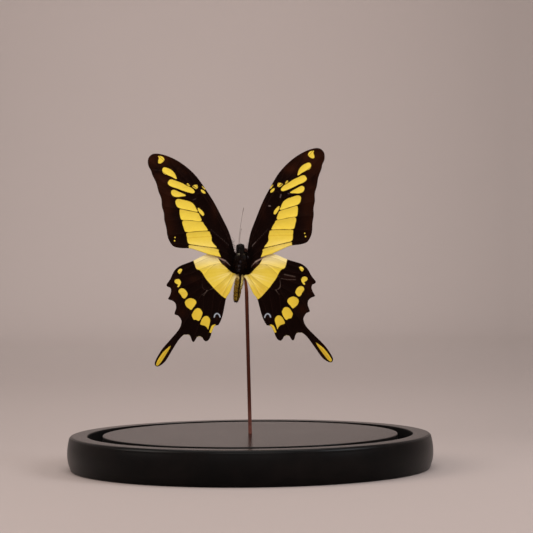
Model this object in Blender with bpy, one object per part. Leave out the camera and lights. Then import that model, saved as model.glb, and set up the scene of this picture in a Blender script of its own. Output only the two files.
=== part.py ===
"""A swallowtail butterfly with spread wings, held head up on a thin rod in a round turned base.

The frame stands at the centre of the base's underside: +Z is up, and the back of the insect, which is
the side with the bright bands, faces -Y. Lengths are in metres.
"""

import math

import bmesh
import bpy
from mathutils import Vector
from mathutils.geometry import delaunay_2d_cdt

MM = 0.001

# Base: one disc of turned wood with a groove for a glass dome and a blind hole for the rod
BASE_HEIGHT = 17.0 * MM
BASE_RADIUS = 90.5 * MM  # at the fullest point of the side
BASE_TOP_RADIUS = 89.6 * MM
BASE_FOOT_RADIUS = 89.0 * MM
BASE_FULLEST_Z = 8.0 * MM
TOP_ROUND = 1.9 * MM
FOOT_ROUND = 1.0 * MM
GROOVE_INNER_RADIUS = 73.0 * MM
GROOVE_OUTER_RADIUS = 80.5 * MM
GROOVE_FLOOR_Z = 10.0 * MM
GROOVE_LIP = 0.4 * MM
BASE_STEPS = 64

# Rod: thin wire, filed to a point that pierces the thorax from below
ROD_RADIUS = 0.9 * MM
ROD_TIP_RADIUS = 0.4 * MM
ROD_FOOT_Z = 8.0 * MM
ROD_TAPER_Z = 87.0 * MM
ROD_TIP_Z = 99.0 * MM
ROD_LEAN = math.radians(0.95)  # towards -X
ROD_TIP_BEND = 1.3 * MM  # how far the filed end is bent on towards -X
FIT_GAP = 0.3 * MM

# Specimen: the thorax's centre, and how far the whole insect leans towards -X
SPECIMEN_CENTRE = (-4.1 * MM, -1.2 * MM, 102.0 * MM)
SPECIMEN_LEAN = math.radians(1.5)

THORAX_RADII = (3.3 * MM, 3.8 * MM, 5.5 * MM)
HEAD_CENTRE = (0.1 * MM, -0.3 * MM, 7.6 * MM)
HEAD_RADII = (1.5 * MM, 1.7 * MM, 1.75 * MM)
EYE_OFFSET = (1.05 * MM, -0.1 * MM, 0.25 * MM)
EYE_RADII = (0.95 * MM, 1.15 * MM, 1.15 * MM)
PALP_OFFSET = (0.5 * MM, 1.1 * MM, 0.8 * MM)
PALP_RADII = (0.4 * MM, 0.5 * MM, 1.2 * MM)

# Abdomen: x, y, z and radius along its axis, from the waist to the tip
ABDOMEN_AXIS_MM = [
    (0.0, 0.1, -5.9, 1.5),
    (-0.1, 0.1, -7.0, 1.75),
    (-0.8, 0.2, -10.3, 2.0),
    (-1.6, 0.4, -13.1, 1.9),
    (-2.2, 0.6, -15.8, 1.55),
    (-2.8, 0.9, -18.5, 0.95),
    (-3.0, 1.0, -19.5, 0.35),
]
ABDOMEN_SEGMENTS = 7
ABDOMEN_SWELL = 0.04  # how much each segment bulges between its joints

# Wings: outlines of a right-hand pair, spread flat, in millimetres from the thorax's centre.
# Each run is one smooth curve, and two runs meet in a corner.
WING_THICKNESS = 0.35 * MM
WING_CELL = 3.0  # millimetres between the points inside a wing
FOREWING_RUNS = [
    [
        (3.0, 4.6), (5.1, 14.1), (8.6, 22.4), (12.0, 29.7), (16.0, 36.6), (20.3, 43.1), (25.1, 48.0),
        (30.3, 51.7), (36.0, 54.2), (40.6, 54.7), (43.1, 52.6), (43.2, 49.2), (40.9, 42.7), (38.5, 34.9),
        (37.2, 26.5), (36.3, 18.7), (35.0, 12.2), (32.9, 8.9), (29.4, 7.85), (24.6, 7.4), (19.5, 5.5),
        (15.4, 3.9), (10.0, 2.4), (4.3, 0.2),
    ],
    [(4.3, 0.2), (4.1, 2.0), (3.0, 4.6)],
]
HINDWING_RUNS = [
    [
        (4.3, -0.7), (6.5, 2.0), (10.0, 4.1), (14.0, 4.6), (18.2, 3.4), (22.9, 1.1), (28.0, -1.3),
        (31.7, -3.8), (33.8, -6.8), (36.5, -10.1),
    ],
    [(36.5, -10.1), (35.4, -12.0), (34.7, -12.9), (35.1, -14.8), (36.0, -16.7)],
    [(36.0, -16.7), (34.4, -18.3), (32.9, -19.4), (32.4, -22.0), (33.0, -25.1)],
    [
        (33.0, -25.1), (31.4, -26.2), (30.3, -27.4), (30.0, -29.3), (31.5, -32.6), (35.7, -37.2),
        (40.2, -42.1), (43.2, -46.8), (43.9, -49.3), (42.4, -50.4), (38.9, -48.2), (35.4, -43.1),
        (32.0, -38.0), (29.2, -35.7), (26.4, -35.7), (25.3, -37.1), (24.6, -38.7),
    ],
    [(24.6, -38.7), (23.0, -36.8), (20.7, -36.9), (18.4, -38.7)],
    [(18.4, -38.7), (16.1, -36.7), (15.6, -34.8), (14.5, -31.6)],
    [(14.5, -31.6), (12.0, -31.2)],
    [(12.0, -31.2), (10.2, -26.3), (8.4, -20.0), (5.7, -12.7), (3.9, -9.0), (2.9, -6.7)],
    [(2.9, -6.7), (3.7, -4.4), (4.3, -2.4), (4.3, -0.7)],
]
FOREWING_ROOT_DEPTH = -2.1  # millimetres behind the thorax's centre line, towards the back of the insect
HINDWING_ROOT_DEPTH = -1.3
FOREWING_RISE = math.tan(math.radians(11.0))
HINDWING_RISE = math.tan(math.radians(8.0))
WING_ROOT_X = 4.0  # millimetres
WING_REACH = 66.0  # millimetres, where a wing's tip has relaxed by the whole of WING_DROOP
WING_DROOP = 1.5  # millimetres
# Each wing's own place as set on the board: side, turn about Y, and shift of its root along X and Z
FOREWING_TURN = math.radians(0.7)
FOREWING_SHIFT_X = 0.42 * MM
HINDWING_SHIFT_X = 0.05 * MM
LEFT_ROOT_RAISE = 0.5 * MM
RIGHT_ROOT_RAISE = -0.5 * MM

# Antennae: points on each feeler, in millimetres from the thorax's centre
ANTENNA_ROUTES_MM = {
    "antenna_left": [(-0.45, -1.1, 9.55), (0.0, -1.8, 13.0), (1.0, -2.4, 18.5), (1.9, -2.2, 23.5), (2.55, -1.6, 28.0)],
    "antenna_right": [(0.75, -0.6, 9.7), (1.0, 1.2, 12.6), (1.25, 5.4, 14.9), (1.35, 10.0, 15.9), (1.3, 15.0, 15.6)],
}
ANTENNA_RADIUS = 0.15 * MM
CLUB_RADIUS = 0.34 * MM
CLUB_SHARE = 0.2  # of the feeler's length

# Legs: coxa, knee, ankle and claw of the left leg of each pair, folded under the thorax
LEG_PAIRS_MM = {
    "foreleg": [(-0.8, 4.3, 2.6), (-2.0, 5.3, 5.2), (-0.9, 6.2, 3.4), (-0.6, 6.4, 1.3)],
    "midleg": [(-1.1, 4.4, 0.2), (-3.0, 6.1, 1.9), (-1.8, 6.8, -1.4), (-1.4, 6.7, -4.0)],
    "hindleg": [(-0.9, 4.2, -2.4), (-2.9, 5.0, -4.6), (-2.2, 5.2, -8.2), (-1.7, 4.9, -11.0)],
}
LEG_RADIUS = 0.26 * MM
CLAW_RADIUS = 0.14 * MM

# Proboscis: a flat coil behind the palps
PROBOSCIS_CENTRE = (0.1 * MM, 2.9 * MM, 7.3 * MM)
PROBOSCIS_RADII = (0.3 * MM, 1.0 * MM)
PROBOSCIS_TURNS = 2.0
PROBOSCIS_TUBE = 0.12 * MM


def clear_scene():
    for old in list(bpy.data.objects):
        bpy.data.objects.remove(old, do_unlink=True)


def principled(name, colour, roughness, metallic=0.0):
    material = bpy.data.materials.new(name)
    material.use_nodes = True
    shader = material.node_tree.nodes["Principled BSDF"]
    shader.inputs["Base Color"].default_value = (*colour, 1.0)
    shader.inputs["Roughness"].default_value = roughness
    shader.inputs["Metallic"].default_value = metallic
    return material


def add_mesh(name, mesh, material, parent=None):
    mesh.shade_smooth()
    mesh.materials.append(material)
    piece = bpy.data.objects.new(name, mesh)
    bpy.context.scene.collection.objects.link(piece)
    piece.parent = parent
    return piece


def mesh_of(name, builder):
    mesh = bpy.data.meshes.new(name)
    builder.to_mesh(mesh)
    builder.free()
    return mesh


def smooth_run(points, steps):
    """Catmull-Rom curve through the points, with the given number of steps between two of them."""
    knots = [Vector(point) for point in points]
    ends = [2 * knots[0] - knots[1]] + knots + [2 * knots[-1] - knots[-2]]
    curve = []
    for before, start, end, after in zip(ends, ends[1:], ends[2:], ends[3:]):
        for step in range(steps):
            t = step / steps
            curve.append(
                0.5 * (
                    2 * start
                    + (end - before) * t
                    + (2 * before - 5 * start + 4 * end - after) * t ** 2
                    + (3 * start - before - 3 * end + after) * t ** 3
                )
            )
    return curve + [knots[-1]]


def arc(centre_r, centre_z, radius, start_deg, end_deg, steps):
    """Points on a round of a turned profile, at equal angles from start to end."""
    angles = [math.radians(start_deg + (end_deg - start_deg) * i / steps) for i in range(steps + 1)]
    return [(centre_r + radius * math.cos(a), centre_z + radius * math.sin(a)) for a in angles]


def base_side():
    """The barrel of the side, between the two rounds: one parabola each way from its fullest point."""
    top = BASE_HEIGHT - TOP_ROUND
    side = []
    for share in (0.75, 0.5, 0.25):
        z = BASE_FULLEST_Z + (top - BASE_FULLEST_Z) * share
        side.append((BASE_RADIUS - (BASE_RADIUS - BASE_TOP_RADIUS) * share ** 2, z))
    side.append((BASE_RADIUS, BASE_FULLEST_Z))
    for share in (0.35, 0.7):
        z = BASE_FULLEST_Z + (FOOT_ROUND - BASE_FULLEST_Z) * share
        side.append((BASE_RADIUS - (BASE_RADIUS - BASE_FOOT_RADIUS) * share ** 2, z))
    return side


def base_profile():
    hole = ROD_RADIUS + FIT_GAP
    hole_floor = ROD_FOOT_Z - FIT_GAP
    lip_z = BASE_HEIGHT - GROOVE_LIP
    profile = [(0.0, hole_floor), (hole, hole_floor), (hole, BASE_HEIGHT)]
    profile += arc(GROOVE_INNER_RADIUS - GROOVE_LIP, lip_z, GROOVE_LIP, 90, 0, 2)
    profile += [(GROOVE_INNER_RADIUS, GROOVE_FLOOR_Z), (GROOVE_OUTER_RADIUS, GROOVE_FLOOR_Z)]
    profile += arc(GROOVE_OUTER_RADIUS + GROOVE_LIP, lip_z, GROOVE_LIP, 180, 90, 2)
    profile += arc(BASE_TOP_RADIUS - TOP_ROUND, BASE_HEIGHT - TOP_ROUND, TOP_ROUND, 90, 0, 4)
    profile += base_side()
    profile += arc(BASE_FOOT_RADIUS - FOOT_ROUND, FOOT_ROUND, FOOT_ROUND, 0, -90, 2)
    profile.append((0.0, 0.0))
    return profile


def make_base(material):
    builder = bmesh.new()
    points = [builder.verts.new((r, 0.0, z)) for r, z in base_profile()]
    for start, end in zip(points, points[1:]):
        builder.edges.new((start, end))
    base = add_mesh("base", mesh_of("base", builder), material)
    lathe = base.modifiers.new("lathe", "SCREW")
    lathe.axis = "Z"
    lathe.steps = BASE_STEPS
    lathe.render_steps = BASE_STEPS
    lathe.use_merge_vertices = True
    lathe.merge_threshold = 0.00005
    return base


def make_tube(name, points, radii, material, parent=None, sides_level=1):
    """A closed tube through the points, as thick at each as its radius says."""
    curve = bpy.data.curves.new(name, "CURVE")
    curve.dimensions = "3D"
    curve.bevel_depth = 1.0
    curve.bevel_resolution = sides_level
    curve.use_fill_caps = True
    spline = curve.splines.new("POLY")
    spline.points.add(len(points) - 1)
    for knot, point, radius in zip(spline.points, points, radii):
        knot.co = (*point, 1.0)
        knot.radius = radius
    curve.materials.append(material)
    tube = bpy.data.objects.new(name, curve)
    bpy.context.scene.collection.objects.link(tube)
    tube.parent = parent
    return tube


def rod_point(z):
    """The rod's centre at a height: a straight lean, and the bend of its filed end."""
    filed = max(0.0, (z - ROD_TAPER_Z) / (ROD_TIP_Z - ROD_TAPER_Z))
    lean = math.tan(ROD_LEAN) * (z - BASE_HEIGHT)
    return (-lean - ROD_TIP_BEND * filed ** 1.5, 0.0, z)


def rod_radius(z):
    filed = max(0.0, (z - ROD_TAPER_Z) / (ROD_TIP_Z - ROD_TAPER_Z))
    return ROD_RADIUS + (ROD_TIP_RADIUS - ROD_RADIUS) * filed


def make_rod(material):
    heights = [ROD_FOOT_Z, 0.5 * (ROD_FOOT_Z + ROD_TAPER_Z)]
    heights += [ROD_TAPER_Z + (ROD_TIP_Z - ROD_TAPER_Z) * i / 6 for i in range(7)]
    return make_tube("rod", [rod_point(z) for z in heights], [rod_radius(z) for z in heights], material, None, 3)


def ball(centre, radii, segments, rings):
    """One closed ellipsoid as a bmesh."""
    builder = bmesh.new()
    bmesh.ops.create_uvsphere(builder, u_segments=segments, v_segments=rings, radius=1.0)
    bmesh.ops.scale(builder, vec=radii, verts=builder.verts)
    bmesh.ops.translate(builder, vec=centre, verts=builder.verts)
    return builder


def hide_cutter(cutter):
    cutter.hide_render = True
    cutter.display_type = "WIRE"


def add_boolean(piece, other, operation):
    modifier = piece.modifiers.new(other.name, "BOOLEAN")
    modifier.operation = operation
    modifier.solver = "EXACT"
    modifier.object = other


def make_thorax(material, specimen):
    thorax = add_mesh("thorax", mesh_of("thorax", ball((0, 0, 0), THORAX_RADII, 20, 14)), material, specimen)
    low = SPECIMEN_CENTRE[2] - THORAX_RADII[2] - FIT_GAP
    heights = [low, 0.5 * (low + ROD_TIP_Z), ROD_TIP_Z, ROD_TIP_Z + FIT_GAP]
    bore_radii = [rod_radius(z) + FIT_GAP for z in heights]
    bore = tube_mesh("rod_bore", [Vector(rod_point(z)) for z in heights], bore_radii, 10)
    cutter = add_mesh("rod_bore", bore, material)
    hide_cutter(cutter)
    add_boolean(thorax, cutter, "DIFFERENCE")
    return thorax


def tube_mesh(name, centres, radii, sides):
    """A closed tube with rings square to its path."""
    builder = bmesh.new()
    rings = []
    for i, (centre, radius) in enumerate(zip(centres, radii)):
        along = (centres[min(i + 1, len(centres) - 1)] - centres[max(i - 1, 0)]).normalized()
        across = along.cross(Vector((0, 1, 0))).normalized()
        up = across.cross(along)
        turns = [2 * math.pi * k / sides for k in range(sides)]
        rings.append([builder.verts.new(centre + radius * (across * math.cos(t) + up * math.sin(t))) for t in turns])
    for low, high in zip(rings, rings[1:]):
        for k in range(sides):
            builder.faces.new((low[k], low[(k + 1) % sides], high[(k + 1) % sides], high[k]))
    builder.faces.new(list(reversed(rings[0])))
    builder.faces.new(rings[-1])
    bmesh.ops.recalc_face_normals(builder, faces=builder.faces)
    return mesh_of(name, builder)


def make_head(material, specimen):
    """Head capsule with its two bulging eyes and the pair of palps, grown in one piece."""
    head = add_mesh("head", mesh_of("head", ball(HEAD_CENTRE, HEAD_RADII, 16, 10)), material, specimen)
    for feature, offset, radii in (("eye", EYE_OFFSET, EYE_RADII), ("palp", PALP_OFFSET, PALP_RADII)):
        for side, sign in (("left", -1), ("right", 1)):
            centre = Vector(HEAD_CENTRE) + Vector((sign * offset[0], offset[1], offset[2]))
            name = f"{feature}_{side}"
            bulge = add_mesh(name, mesh_of(name, ball(centre, radii, 12, 8)), material, specimen)
            hide_cutter(bulge)
            add_boolean(head, bulge, "UNION")
    return head


def make_abdomen(material, specimen):
    """A tapered tube of segments, round at both ends."""
    path = smooth_run([Vector(knot) * MM for knot in ABDOMEN_AXIS_MM], 3)
    centres = [Vector(knot[:3]) for knot in path]
    length = len(path) - 1
    radii = []
    for i, knot in enumerate(path):
        swell = 1 + ABDOMEN_SWELL * math.sin(math.pi * ABDOMEN_SEGMENTS * i / length) ** 2
        radii.append(knot[3] * swell)
    return add_mesh("abdomen", tube_mesh("abdomen", centres, radii, 14), material, specimen)


def outline_of(runs, step):
    """The closed outline of a wing as points about one step apart, with a point at every corner."""
    outline = []
    for run in runs:
        dense = smooth_run(run, 12)
        lengths = [0.0]
        for start, end in zip(dense, dense[1:]):
            lengths.append(lengths[-1] + (end - start).length)
        count = max(1, round(lengths[-1] / step))
        k = 0
        for i in range(count):
            target = lengths[-1] * i / count
            while lengths[k + 1] < target:
                k += 1
            share = (target - lengths[k]) / (lengths[k + 1] - lengths[k])
            outline.append(dense[k].lerp(dense[k + 1], share))
    return outline


def inside(point, outline):
    """Whether a point is in the outline, by counting the edges that a ray along +X crosses."""
    crossed = False
    for a, b in zip(outline, outline[1:] + outline[:1]):
        if (a.y > point.y) != (b.y > point.y):
            if point.x < a.x + (b.x - a.x) * (point.y - a.y) / (b.y - a.y):
                crossed = not crossed
    return crossed


def sheet_points(outline, cell):
    """Points on an even triangular grid inside the outline, none of them close to its edge."""
    points = []
    row_height = cell * math.sqrt(3) / 2
    low_y = min(p.y for p in outline)
    rows = int((max(p.y for p in outline) - low_y) / row_height) + 1
    columns = int(max(p.x for p in outline) / cell) + 2
    for row in range(rows):
        for column in range(columns):
            point = Vector(((column + 0.5 * (row % 2)) * cell, low_y + row * row_height))
            clear = min((point - edge).length for edge in outline) > 0.6 * cell
            if clear and inside(point, outline):
                points.append(point)
    return points


def forewing_depth(x, z):
    droop = WING_DROOP * (math.hypot(x, z) / WING_REACH) ** 3
    return FOREWING_ROOT_DEPTH - (x - WING_ROOT_X) * FOREWING_RISE + droop


def hindwing_depth(x, z):
    droop = WING_DROOP * (math.hypot(x, z) / WING_REACH) ** 3
    return HINDWING_ROOT_DEPTH - (x - WING_ROOT_X) * HINDWING_RISE + droop


def wing_mesh(name, runs, depth, sign):
    """The wing's middle surface: a triangulated outline set out on its curved plane."""
    outline = outline_of(runs, 0.75 * WING_CELL)
    points = outline + sheet_points(outline, WING_CELL)
    loop = list(range(len(outline)))
    flat, _, faces, *_ = delaunay_2d_cdt(points, [], [loop], 1, 1e-5)
    builder = bmesh.new()
    verts = [builder.verts.new((sign * p.x * MM, depth(p.x, p.y) * MM, p.y * MM)) for p in flat]
    for face in faces:
        builder.faces.new([verts[i] for i in face])
    bmesh.ops.recalc_face_normals(builder, faces=builder.faces)
    return mesh_of(name, builder)


def make_wing(name, runs, depth, side, turn, shift_x, material, specimen):
    sign = -1 if side == "left" else 1
    wing = add_mesh(name, wing_mesh(name, runs, depth, sign), material, specimen)
    wing.location = (shift_x, 0.0, LEFT_ROOT_RAISE if side == "left" else RIGHT_ROOT_RAISE)
    wing.rotation_euler = (0.0, -turn, 0.0)
    thickness = wing.modifiers.new("thickness", "SOLIDIFY")
    thickness.thickness = WING_THICKNESS
    thickness.offset = 0.0
    return wing


def make_wings(material, specimen):
    for side in ("left", "right"):
        make_wing(
            f"forewing_{side}", FOREWING_RUNS, forewing_depth, side,
            FOREWING_TURN, FOREWING_SHIFT_X, material, specimen,
        )
        make_wing(
            f"hindwing_{side}", HINDWING_RUNS, hindwing_depth, side,
            0.0, HINDWING_SHIFT_X, material, specimen,
        )


def make_antennae(material, specimen):
    for name, route in ANTENNA_ROUTES_MM.items():
        path = smooth_run([Vector(point) * MM for point in route], 4)
        last = len(path) - 1
        radii = []
        for i in range(len(path)):
            into_club = max(0.0, (i / last - 1 + CLUB_SHARE) / CLUB_SHARE)
            radii.append(ANTENNA_RADIUS + (CLUB_RADIUS - ANTENNA_RADIUS) * math.sin(0.8 * math.pi * into_club))
        make_tube(name, path, radii, material, specimen)


def make_legs(material, specimen):
    for pair, route in LEG_PAIRS_MM.items():
        for side, sign in (("left", 1), ("right", -1)):
            path = smooth_run([Vector((sign * x, y, z)) * MM for x, y, z in route], 4)
            last = len(path) - 1
            radii = [LEG_RADIUS + (CLAW_RADIUS - LEG_RADIUS) * i / last for i in range(len(path))]
            make_tube(f"{pair}_{side}", path, radii, material, specimen)


def make_proboscis(material, specimen):
    steps = 24
    inner, outer = PROBOSCIS_RADII
    centre = Vector(PROBOSCIS_CENTRE)
    path = []
    for i in range(steps + 1):
        angle = 2 * math.pi * PROBOSCIS_TURNS * i / steps
        radius = outer + (inner - outer) * i / steps
        path.append(centre + radius * Vector((0.0, -math.cos(angle), math.sin(angle))))
    make_tube("proboscis", path, [PROBOSCIS_TUBE] * len(path), material, specimen)


def main():
    clear_scene()
    wood = principled("black_stained_wood", (0.02, 0.018, 0.017), 0.35)
    wire = principled("browned_wire", (0.16, 0.05, 0.03), 0.45, 0.8)
    fur = principled("black_body_hair", (0.02, 0.012, 0.008), 0.8)
    olive = principled("olive_abdomen", (0.25, 0.17, 0.03), 0.7)
    membrane = principled("scaled_wing", (0.03, 0.012, 0.008), 0.6)
    horn = principled("dark_horn", (0.03, 0.015, 0.01), 0.5)
    make_base(wood)
    make_rod(wire)
    specimen = bpy.data.objects.new("specimen", None)
    bpy.context.scene.collection.objects.link(specimen)
    specimen.location = SPECIMEN_CENTRE
    specimen.rotation_euler = (0.0, -SPECIMEN_LEAN, 0.0)
    make_thorax(fur, specimen)
    make_head(fur, specimen)
    make_abdomen(olive, specimen)
    make_wings(membrane, specimen)
    make_antennae(horn, specimen)
    make_legs(horn, specimen)
    make_proboscis(horn, specimen)


main()
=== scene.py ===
# %% [markdown]
# # A swallowtail butterfly set on a wire above a turned wooden base
# The real object is a dry insect with its four wings spread flat, carried on a thin browned wire that
# stands in the middle of a round black base. The base has a deep groove near its edge, where a glass dome
# would sit. The solid frame of the object is already made, so this lesson only builds the looks: every
# visible piece is a finer mesh that stands exactly where its plain solid stands.

import math

import bpy
import numpy as np
from mathutils import Matrix, Vector, noise
from mathutils.geometry import delaunay_2d_cdt


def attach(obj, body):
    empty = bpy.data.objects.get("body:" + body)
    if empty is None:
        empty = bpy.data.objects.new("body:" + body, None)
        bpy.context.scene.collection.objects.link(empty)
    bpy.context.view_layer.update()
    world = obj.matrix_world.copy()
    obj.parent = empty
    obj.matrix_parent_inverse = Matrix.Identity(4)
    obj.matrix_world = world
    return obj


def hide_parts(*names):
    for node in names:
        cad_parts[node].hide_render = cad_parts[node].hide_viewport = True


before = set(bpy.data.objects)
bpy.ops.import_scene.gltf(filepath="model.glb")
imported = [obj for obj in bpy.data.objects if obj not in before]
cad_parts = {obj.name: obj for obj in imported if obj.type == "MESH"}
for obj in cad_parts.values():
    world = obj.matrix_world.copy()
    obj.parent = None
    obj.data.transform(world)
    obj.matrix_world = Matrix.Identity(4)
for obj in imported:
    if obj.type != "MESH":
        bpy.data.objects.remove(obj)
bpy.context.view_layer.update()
MM = 0.001
print("frame loaded:", len(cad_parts), "solids")

# %% [markdown]
# Every piece goes through the same few steps: its points become a mesh, the mesh takes a finish, and the
# piece is said to ride on the frame and to stand for its plain solid. One helper does that, so no piece can
# be left behind. Points are kept in millimetres while a shape is worked out, because every size of an insect
# is easy to picture in millimetres, and they become metres only at this door.

# %% A door that every piece passes through
def hand_in(name, points_mm, faces, finish, slot, stands_for=(), place=Matrix(), flat_faces=()):
    """Makes the mesh piece, puts it in place, and hides the solids it stands for. The slot is not used."""
    mesh = bpy.data.meshes.new(name)
    mesh.from_pydata((np.asarray(points_mm) * MM).tolist(), [], [list(face) for face in faces])
    mesh.shade_smooth()
    for index in flat_faces:
        mesh.polygons[index].use_smooth = False
    mesh.materials.append(finish)
    piece = bpy.data.objects.new(name, mesh)
    bpy.context.scene.collection.objects.link(piece)
    piece.matrix_world = place
    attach(piece, "root")
    if stands_for:
        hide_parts(*stands_for)
    print(f"{name}: {len(mesh.vertices)} points, {len(mesh.polygons)} faces")
    return piece


def paint(piece, name, values):
    """Keeps one number for every point of the piece, which its finish can read by that name."""
    layer = piece.data.attributes.new(name, "FLOAT", "POINT")
    layer.data.foreach_set("value", np.asarray(values, np.float32))


# %% [markdown]
# A finish is a small graph of nodes. Writing each link by hand makes long code that is hard to read, so a
# few short helpers build the graph: they add a node and join its inputs, do a sum, stretch a value, give a
# soft step from 0 to 1 between two values, mix two colours, and add grain.

# %% Helpers for finishes
def add_node(tree, kind, inputs=None, **settings):
    """A new node; an input takes a value, or another node's output to be joined to."""
    made = tree.nodes.new("ShaderNode" + kind)
    for name, value in settings.items():
        setattr(made, name, value)
    for name, value in (inputs or {}).items():
        if isinstance(value, bpy.types.NodeSocket):
            tree.links.new(value, made.inputs[name])
        else:
            made.inputs[name].default_value = value
    return made


def maths(tree, operation, a, b=0.0):
    return add_node(tree, "Math", {0: a, 1: b}, operation=operation).outputs[0]


def plus(tree, a, b):
    return maths(tree, "ADD", a, b)


def minus(tree, a, b):
    return maths(tree, "SUBTRACT", a, b)


def times(tree, a, b):
    return maths(tree, "MULTIPLY", a, b)


def stretched(tree, value, low, high):
    """A value from 0 to 1 made to run from low to high instead."""
    return add_node(tree, "MapRange", {"Value": value, "To Min": low, "To Max": high}).outputs[0]


def soft_step(tree, value, low, high):
    """0 below low and 1 above high, with a smooth rise between."""
    inputs = {"Value": value, "From Min": low, "From Max": high}
    return add_node(tree, "MapRange", inputs, interpolation_type="SMOOTHSTEP").outputs["Result"]


def blend_colours(tree, share, first, second):
    mix = add_node(tree, "Mix", {0: share, 6: first, 7: second}, data_type="RGBA")
    return mix.outputs[2]


def grain(tree, scale, detail=3.0, roughness=0.55, stretch=(1.0, 1.0, 1.0), warp=0.0):
    """Noise over the piece's own space, with the given number of grains in a metre."""
    where = add_node(tree, "TexCoord").outputs["Object"]
    where = add_node(tree, "Mapping", {"Vector": where, "Scale": stretch}).outputs["Vector"]
    inputs = {"Vector": where, "Scale": scale, "Detail": detail, "Roughness": roughness, "Distortion": warp}
    return add_node(tree, "TexNoise", inputs).outputs["Fac"]


def number_at_point(tree, name):
    return add_node(tree, "Attribute", attribute_name=name).outputs["Fac"]


def raised(tree, height, depth_mm, strength=1.0, under=None):
    """A bump whose full height is depth_mm."""
    inputs = {"Height": height, "Distance": depth_mm * MM, "Strength": strength}
    if under is not None:
        inputs["Normal"] = under
    return add_node(tree, "Bump", inputs).outputs["Normal"]


def new_finish(name, colour, roughness, specular):
    """A material, its node tree and its shader, with the values that are the same all over already set."""
    finish = bpy.data.materials.new(name)
    finish.use_nodes = True
    tree = finish.node_tree
    shader = tree.nodes["Principled BSDF"]
    shader.inputs["Base Color"].default_value = colour
    shader.inputs["Roughness"].default_value = roughness
    shader.inputs["Specular IOR Level"].default_value = specular
    return finish, tree, shader


def feed(tree, shader, **sockets):
    """Joins outputs to the shader: base_color=..., roughness=..., normal=..."""
    names = {"base_color": "Base Color", "roughness": "Roughness", "normal": "Normal"}
    for key, output in sockets.items():
        tree.links.new(output, shader.inputs[names[key]])


# %% [markdown]
# ## The base
# A wood turner makes such a base on a lathe: a disc with rounded edges, sides as full as a barrel, and a
# groove cut for the dome. It is then stained black and waxed. In Blender the same thing is a profile swept
# round an axis. A modifier could do it, but building the rings directly lets the profile carry small real
# details: the eased lips of the groove, and the eased rim of the hole that takes the wire.

# %% The profile of the base
BASE_HEIGHT = 17.0
BASE_RADIUS = 90.5
BASE_TOP_RADIUS = 89.6
BASE_FOOT_RADIUS = 89.0
BASE_FULLEST_Z = 8.0
TOP_ROUND = 1.9
FOOT_ROUND = 1.0
GROOVE_RADII = (73.0, 80.5)
GROOVE_FLOOR_Z = 10.0
GROOVE_LIP = 0.4
GROOVE_FLOOR_ROUND = 0.5
HOLE_RADIUS = 0.95
HOLE_FLOOR_Z = 7.7
HOLE_EASING = 0.12
FOOT_RECESS = [(60.0, 0.0), (59.4, 0.45), (8.0, 0.45), (7.0, 0.6)]


def round_off(centre_r, centre_z, radius, start_deg, end_deg, steps):
    """Points on a rounded edge of the profile."""
    turns = np.radians(np.linspace(start_deg, end_deg, steps + 1))
    return [(centre_r + radius * math.cos(t), centre_z + radius * math.sin(t)) for t in turns]


def flat_run(start, end, step):
    """Points between two corners of the profile, without the corners themselves."""
    start, end = np.array(start), np.array(end)
    count = max(2, int(round(np.linalg.norm(end - start) / step)))
    return [tuple(start + (end - start) * i / count) for i in range(1, count)]


def barrel_side():
    top = BASE_HEIGHT - TOP_ROUND
    side = []
    for z in np.linspace(top, FOOT_ROUND, 22):
        if z > BASE_FULLEST_Z:
            share = (z - BASE_FULLEST_Z) / (top - BASE_FULLEST_Z)
            edge = BASE_TOP_RADIUS
        else:
            share = (BASE_FULLEST_Z - z) / (BASE_FULLEST_Z - FOOT_ROUND)
            edge = BASE_FOOT_RADIUS
        side.append((BASE_RADIUS - (BASE_RADIUS - edge) * share ** 2, z))
    return side


def base_profile():
    inner, outer = GROOVE_RADII
    lip_z = BASE_HEIGHT - GROOVE_LIP
    hole_top = (HOLE_RADIUS, BASE_HEIGHT - HOLE_EASING)
    plateau_start = (HOLE_RADIUS + HOLE_EASING, BASE_HEIGHT)
    plateau_level = (HOLE_RADIUS + 3 * HOLE_EASING, BASE_HEIGHT)
    profile = [(HOLE_RADIUS, HOLE_FLOOR_Z), hole_top, plateau_start, plateau_level]
    profile += flat_run(plateau_level, (inner - GROOVE_LIP, BASE_HEIGHT), 3.0)
    profile += round_off(inner - GROOVE_LIP, lip_z, GROOVE_LIP, 90, 0, 5)
    profile += flat_run((inner, lip_z), (inner, GROOVE_FLOOR_Z), 1.2)
    floor_in, floor_out = inner + GROOVE_FLOOR_ROUND, outer - GROOVE_FLOOR_ROUND
    round_z = GROOVE_FLOOR_Z + GROOVE_FLOOR_ROUND
    profile += round_off(floor_in, round_z, GROOVE_FLOOR_ROUND, 180, 270, 3)
    profile += flat_run((floor_in, GROOVE_FLOOR_Z), (floor_out, GROOVE_FLOOR_Z), 1.2)
    profile += round_off(floor_out, round_z, GROOVE_FLOOR_ROUND, 270, 360, 3)
    profile += flat_run((outer, round_z), (outer, lip_z), 1.2)
    profile += round_off(outer + GROOVE_LIP, lip_z, GROOVE_LIP, 180, 90, 5)
    profile += flat_run((outer + GROOVE_LIP, BASE_HEIGHT), (BASE_TOP_RADIUS - TOP_ROUND, BASE_HEIGHT), 1.5)
    profile += round_off(BASE_TOP_RADIUS - TOP_ROUND, BASE_HEIGHT - TOP_ROUND, TOP_ROUND, 90, 0, 8)
    profile += barrel_side()[1:-1]
    profile += round_off(BASE_FOOT_RADIUS - FOOT_ROUND, FOOT_ROUND, FOOT_ROUND, 0, -90, 5)
    profile += flat_run((BASE_FOOT_RADIUS - FOOT_ROUND, 0.0), FOOT_RECESS[0], 6.0)
    return profile + FOOT_RECESS


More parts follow.
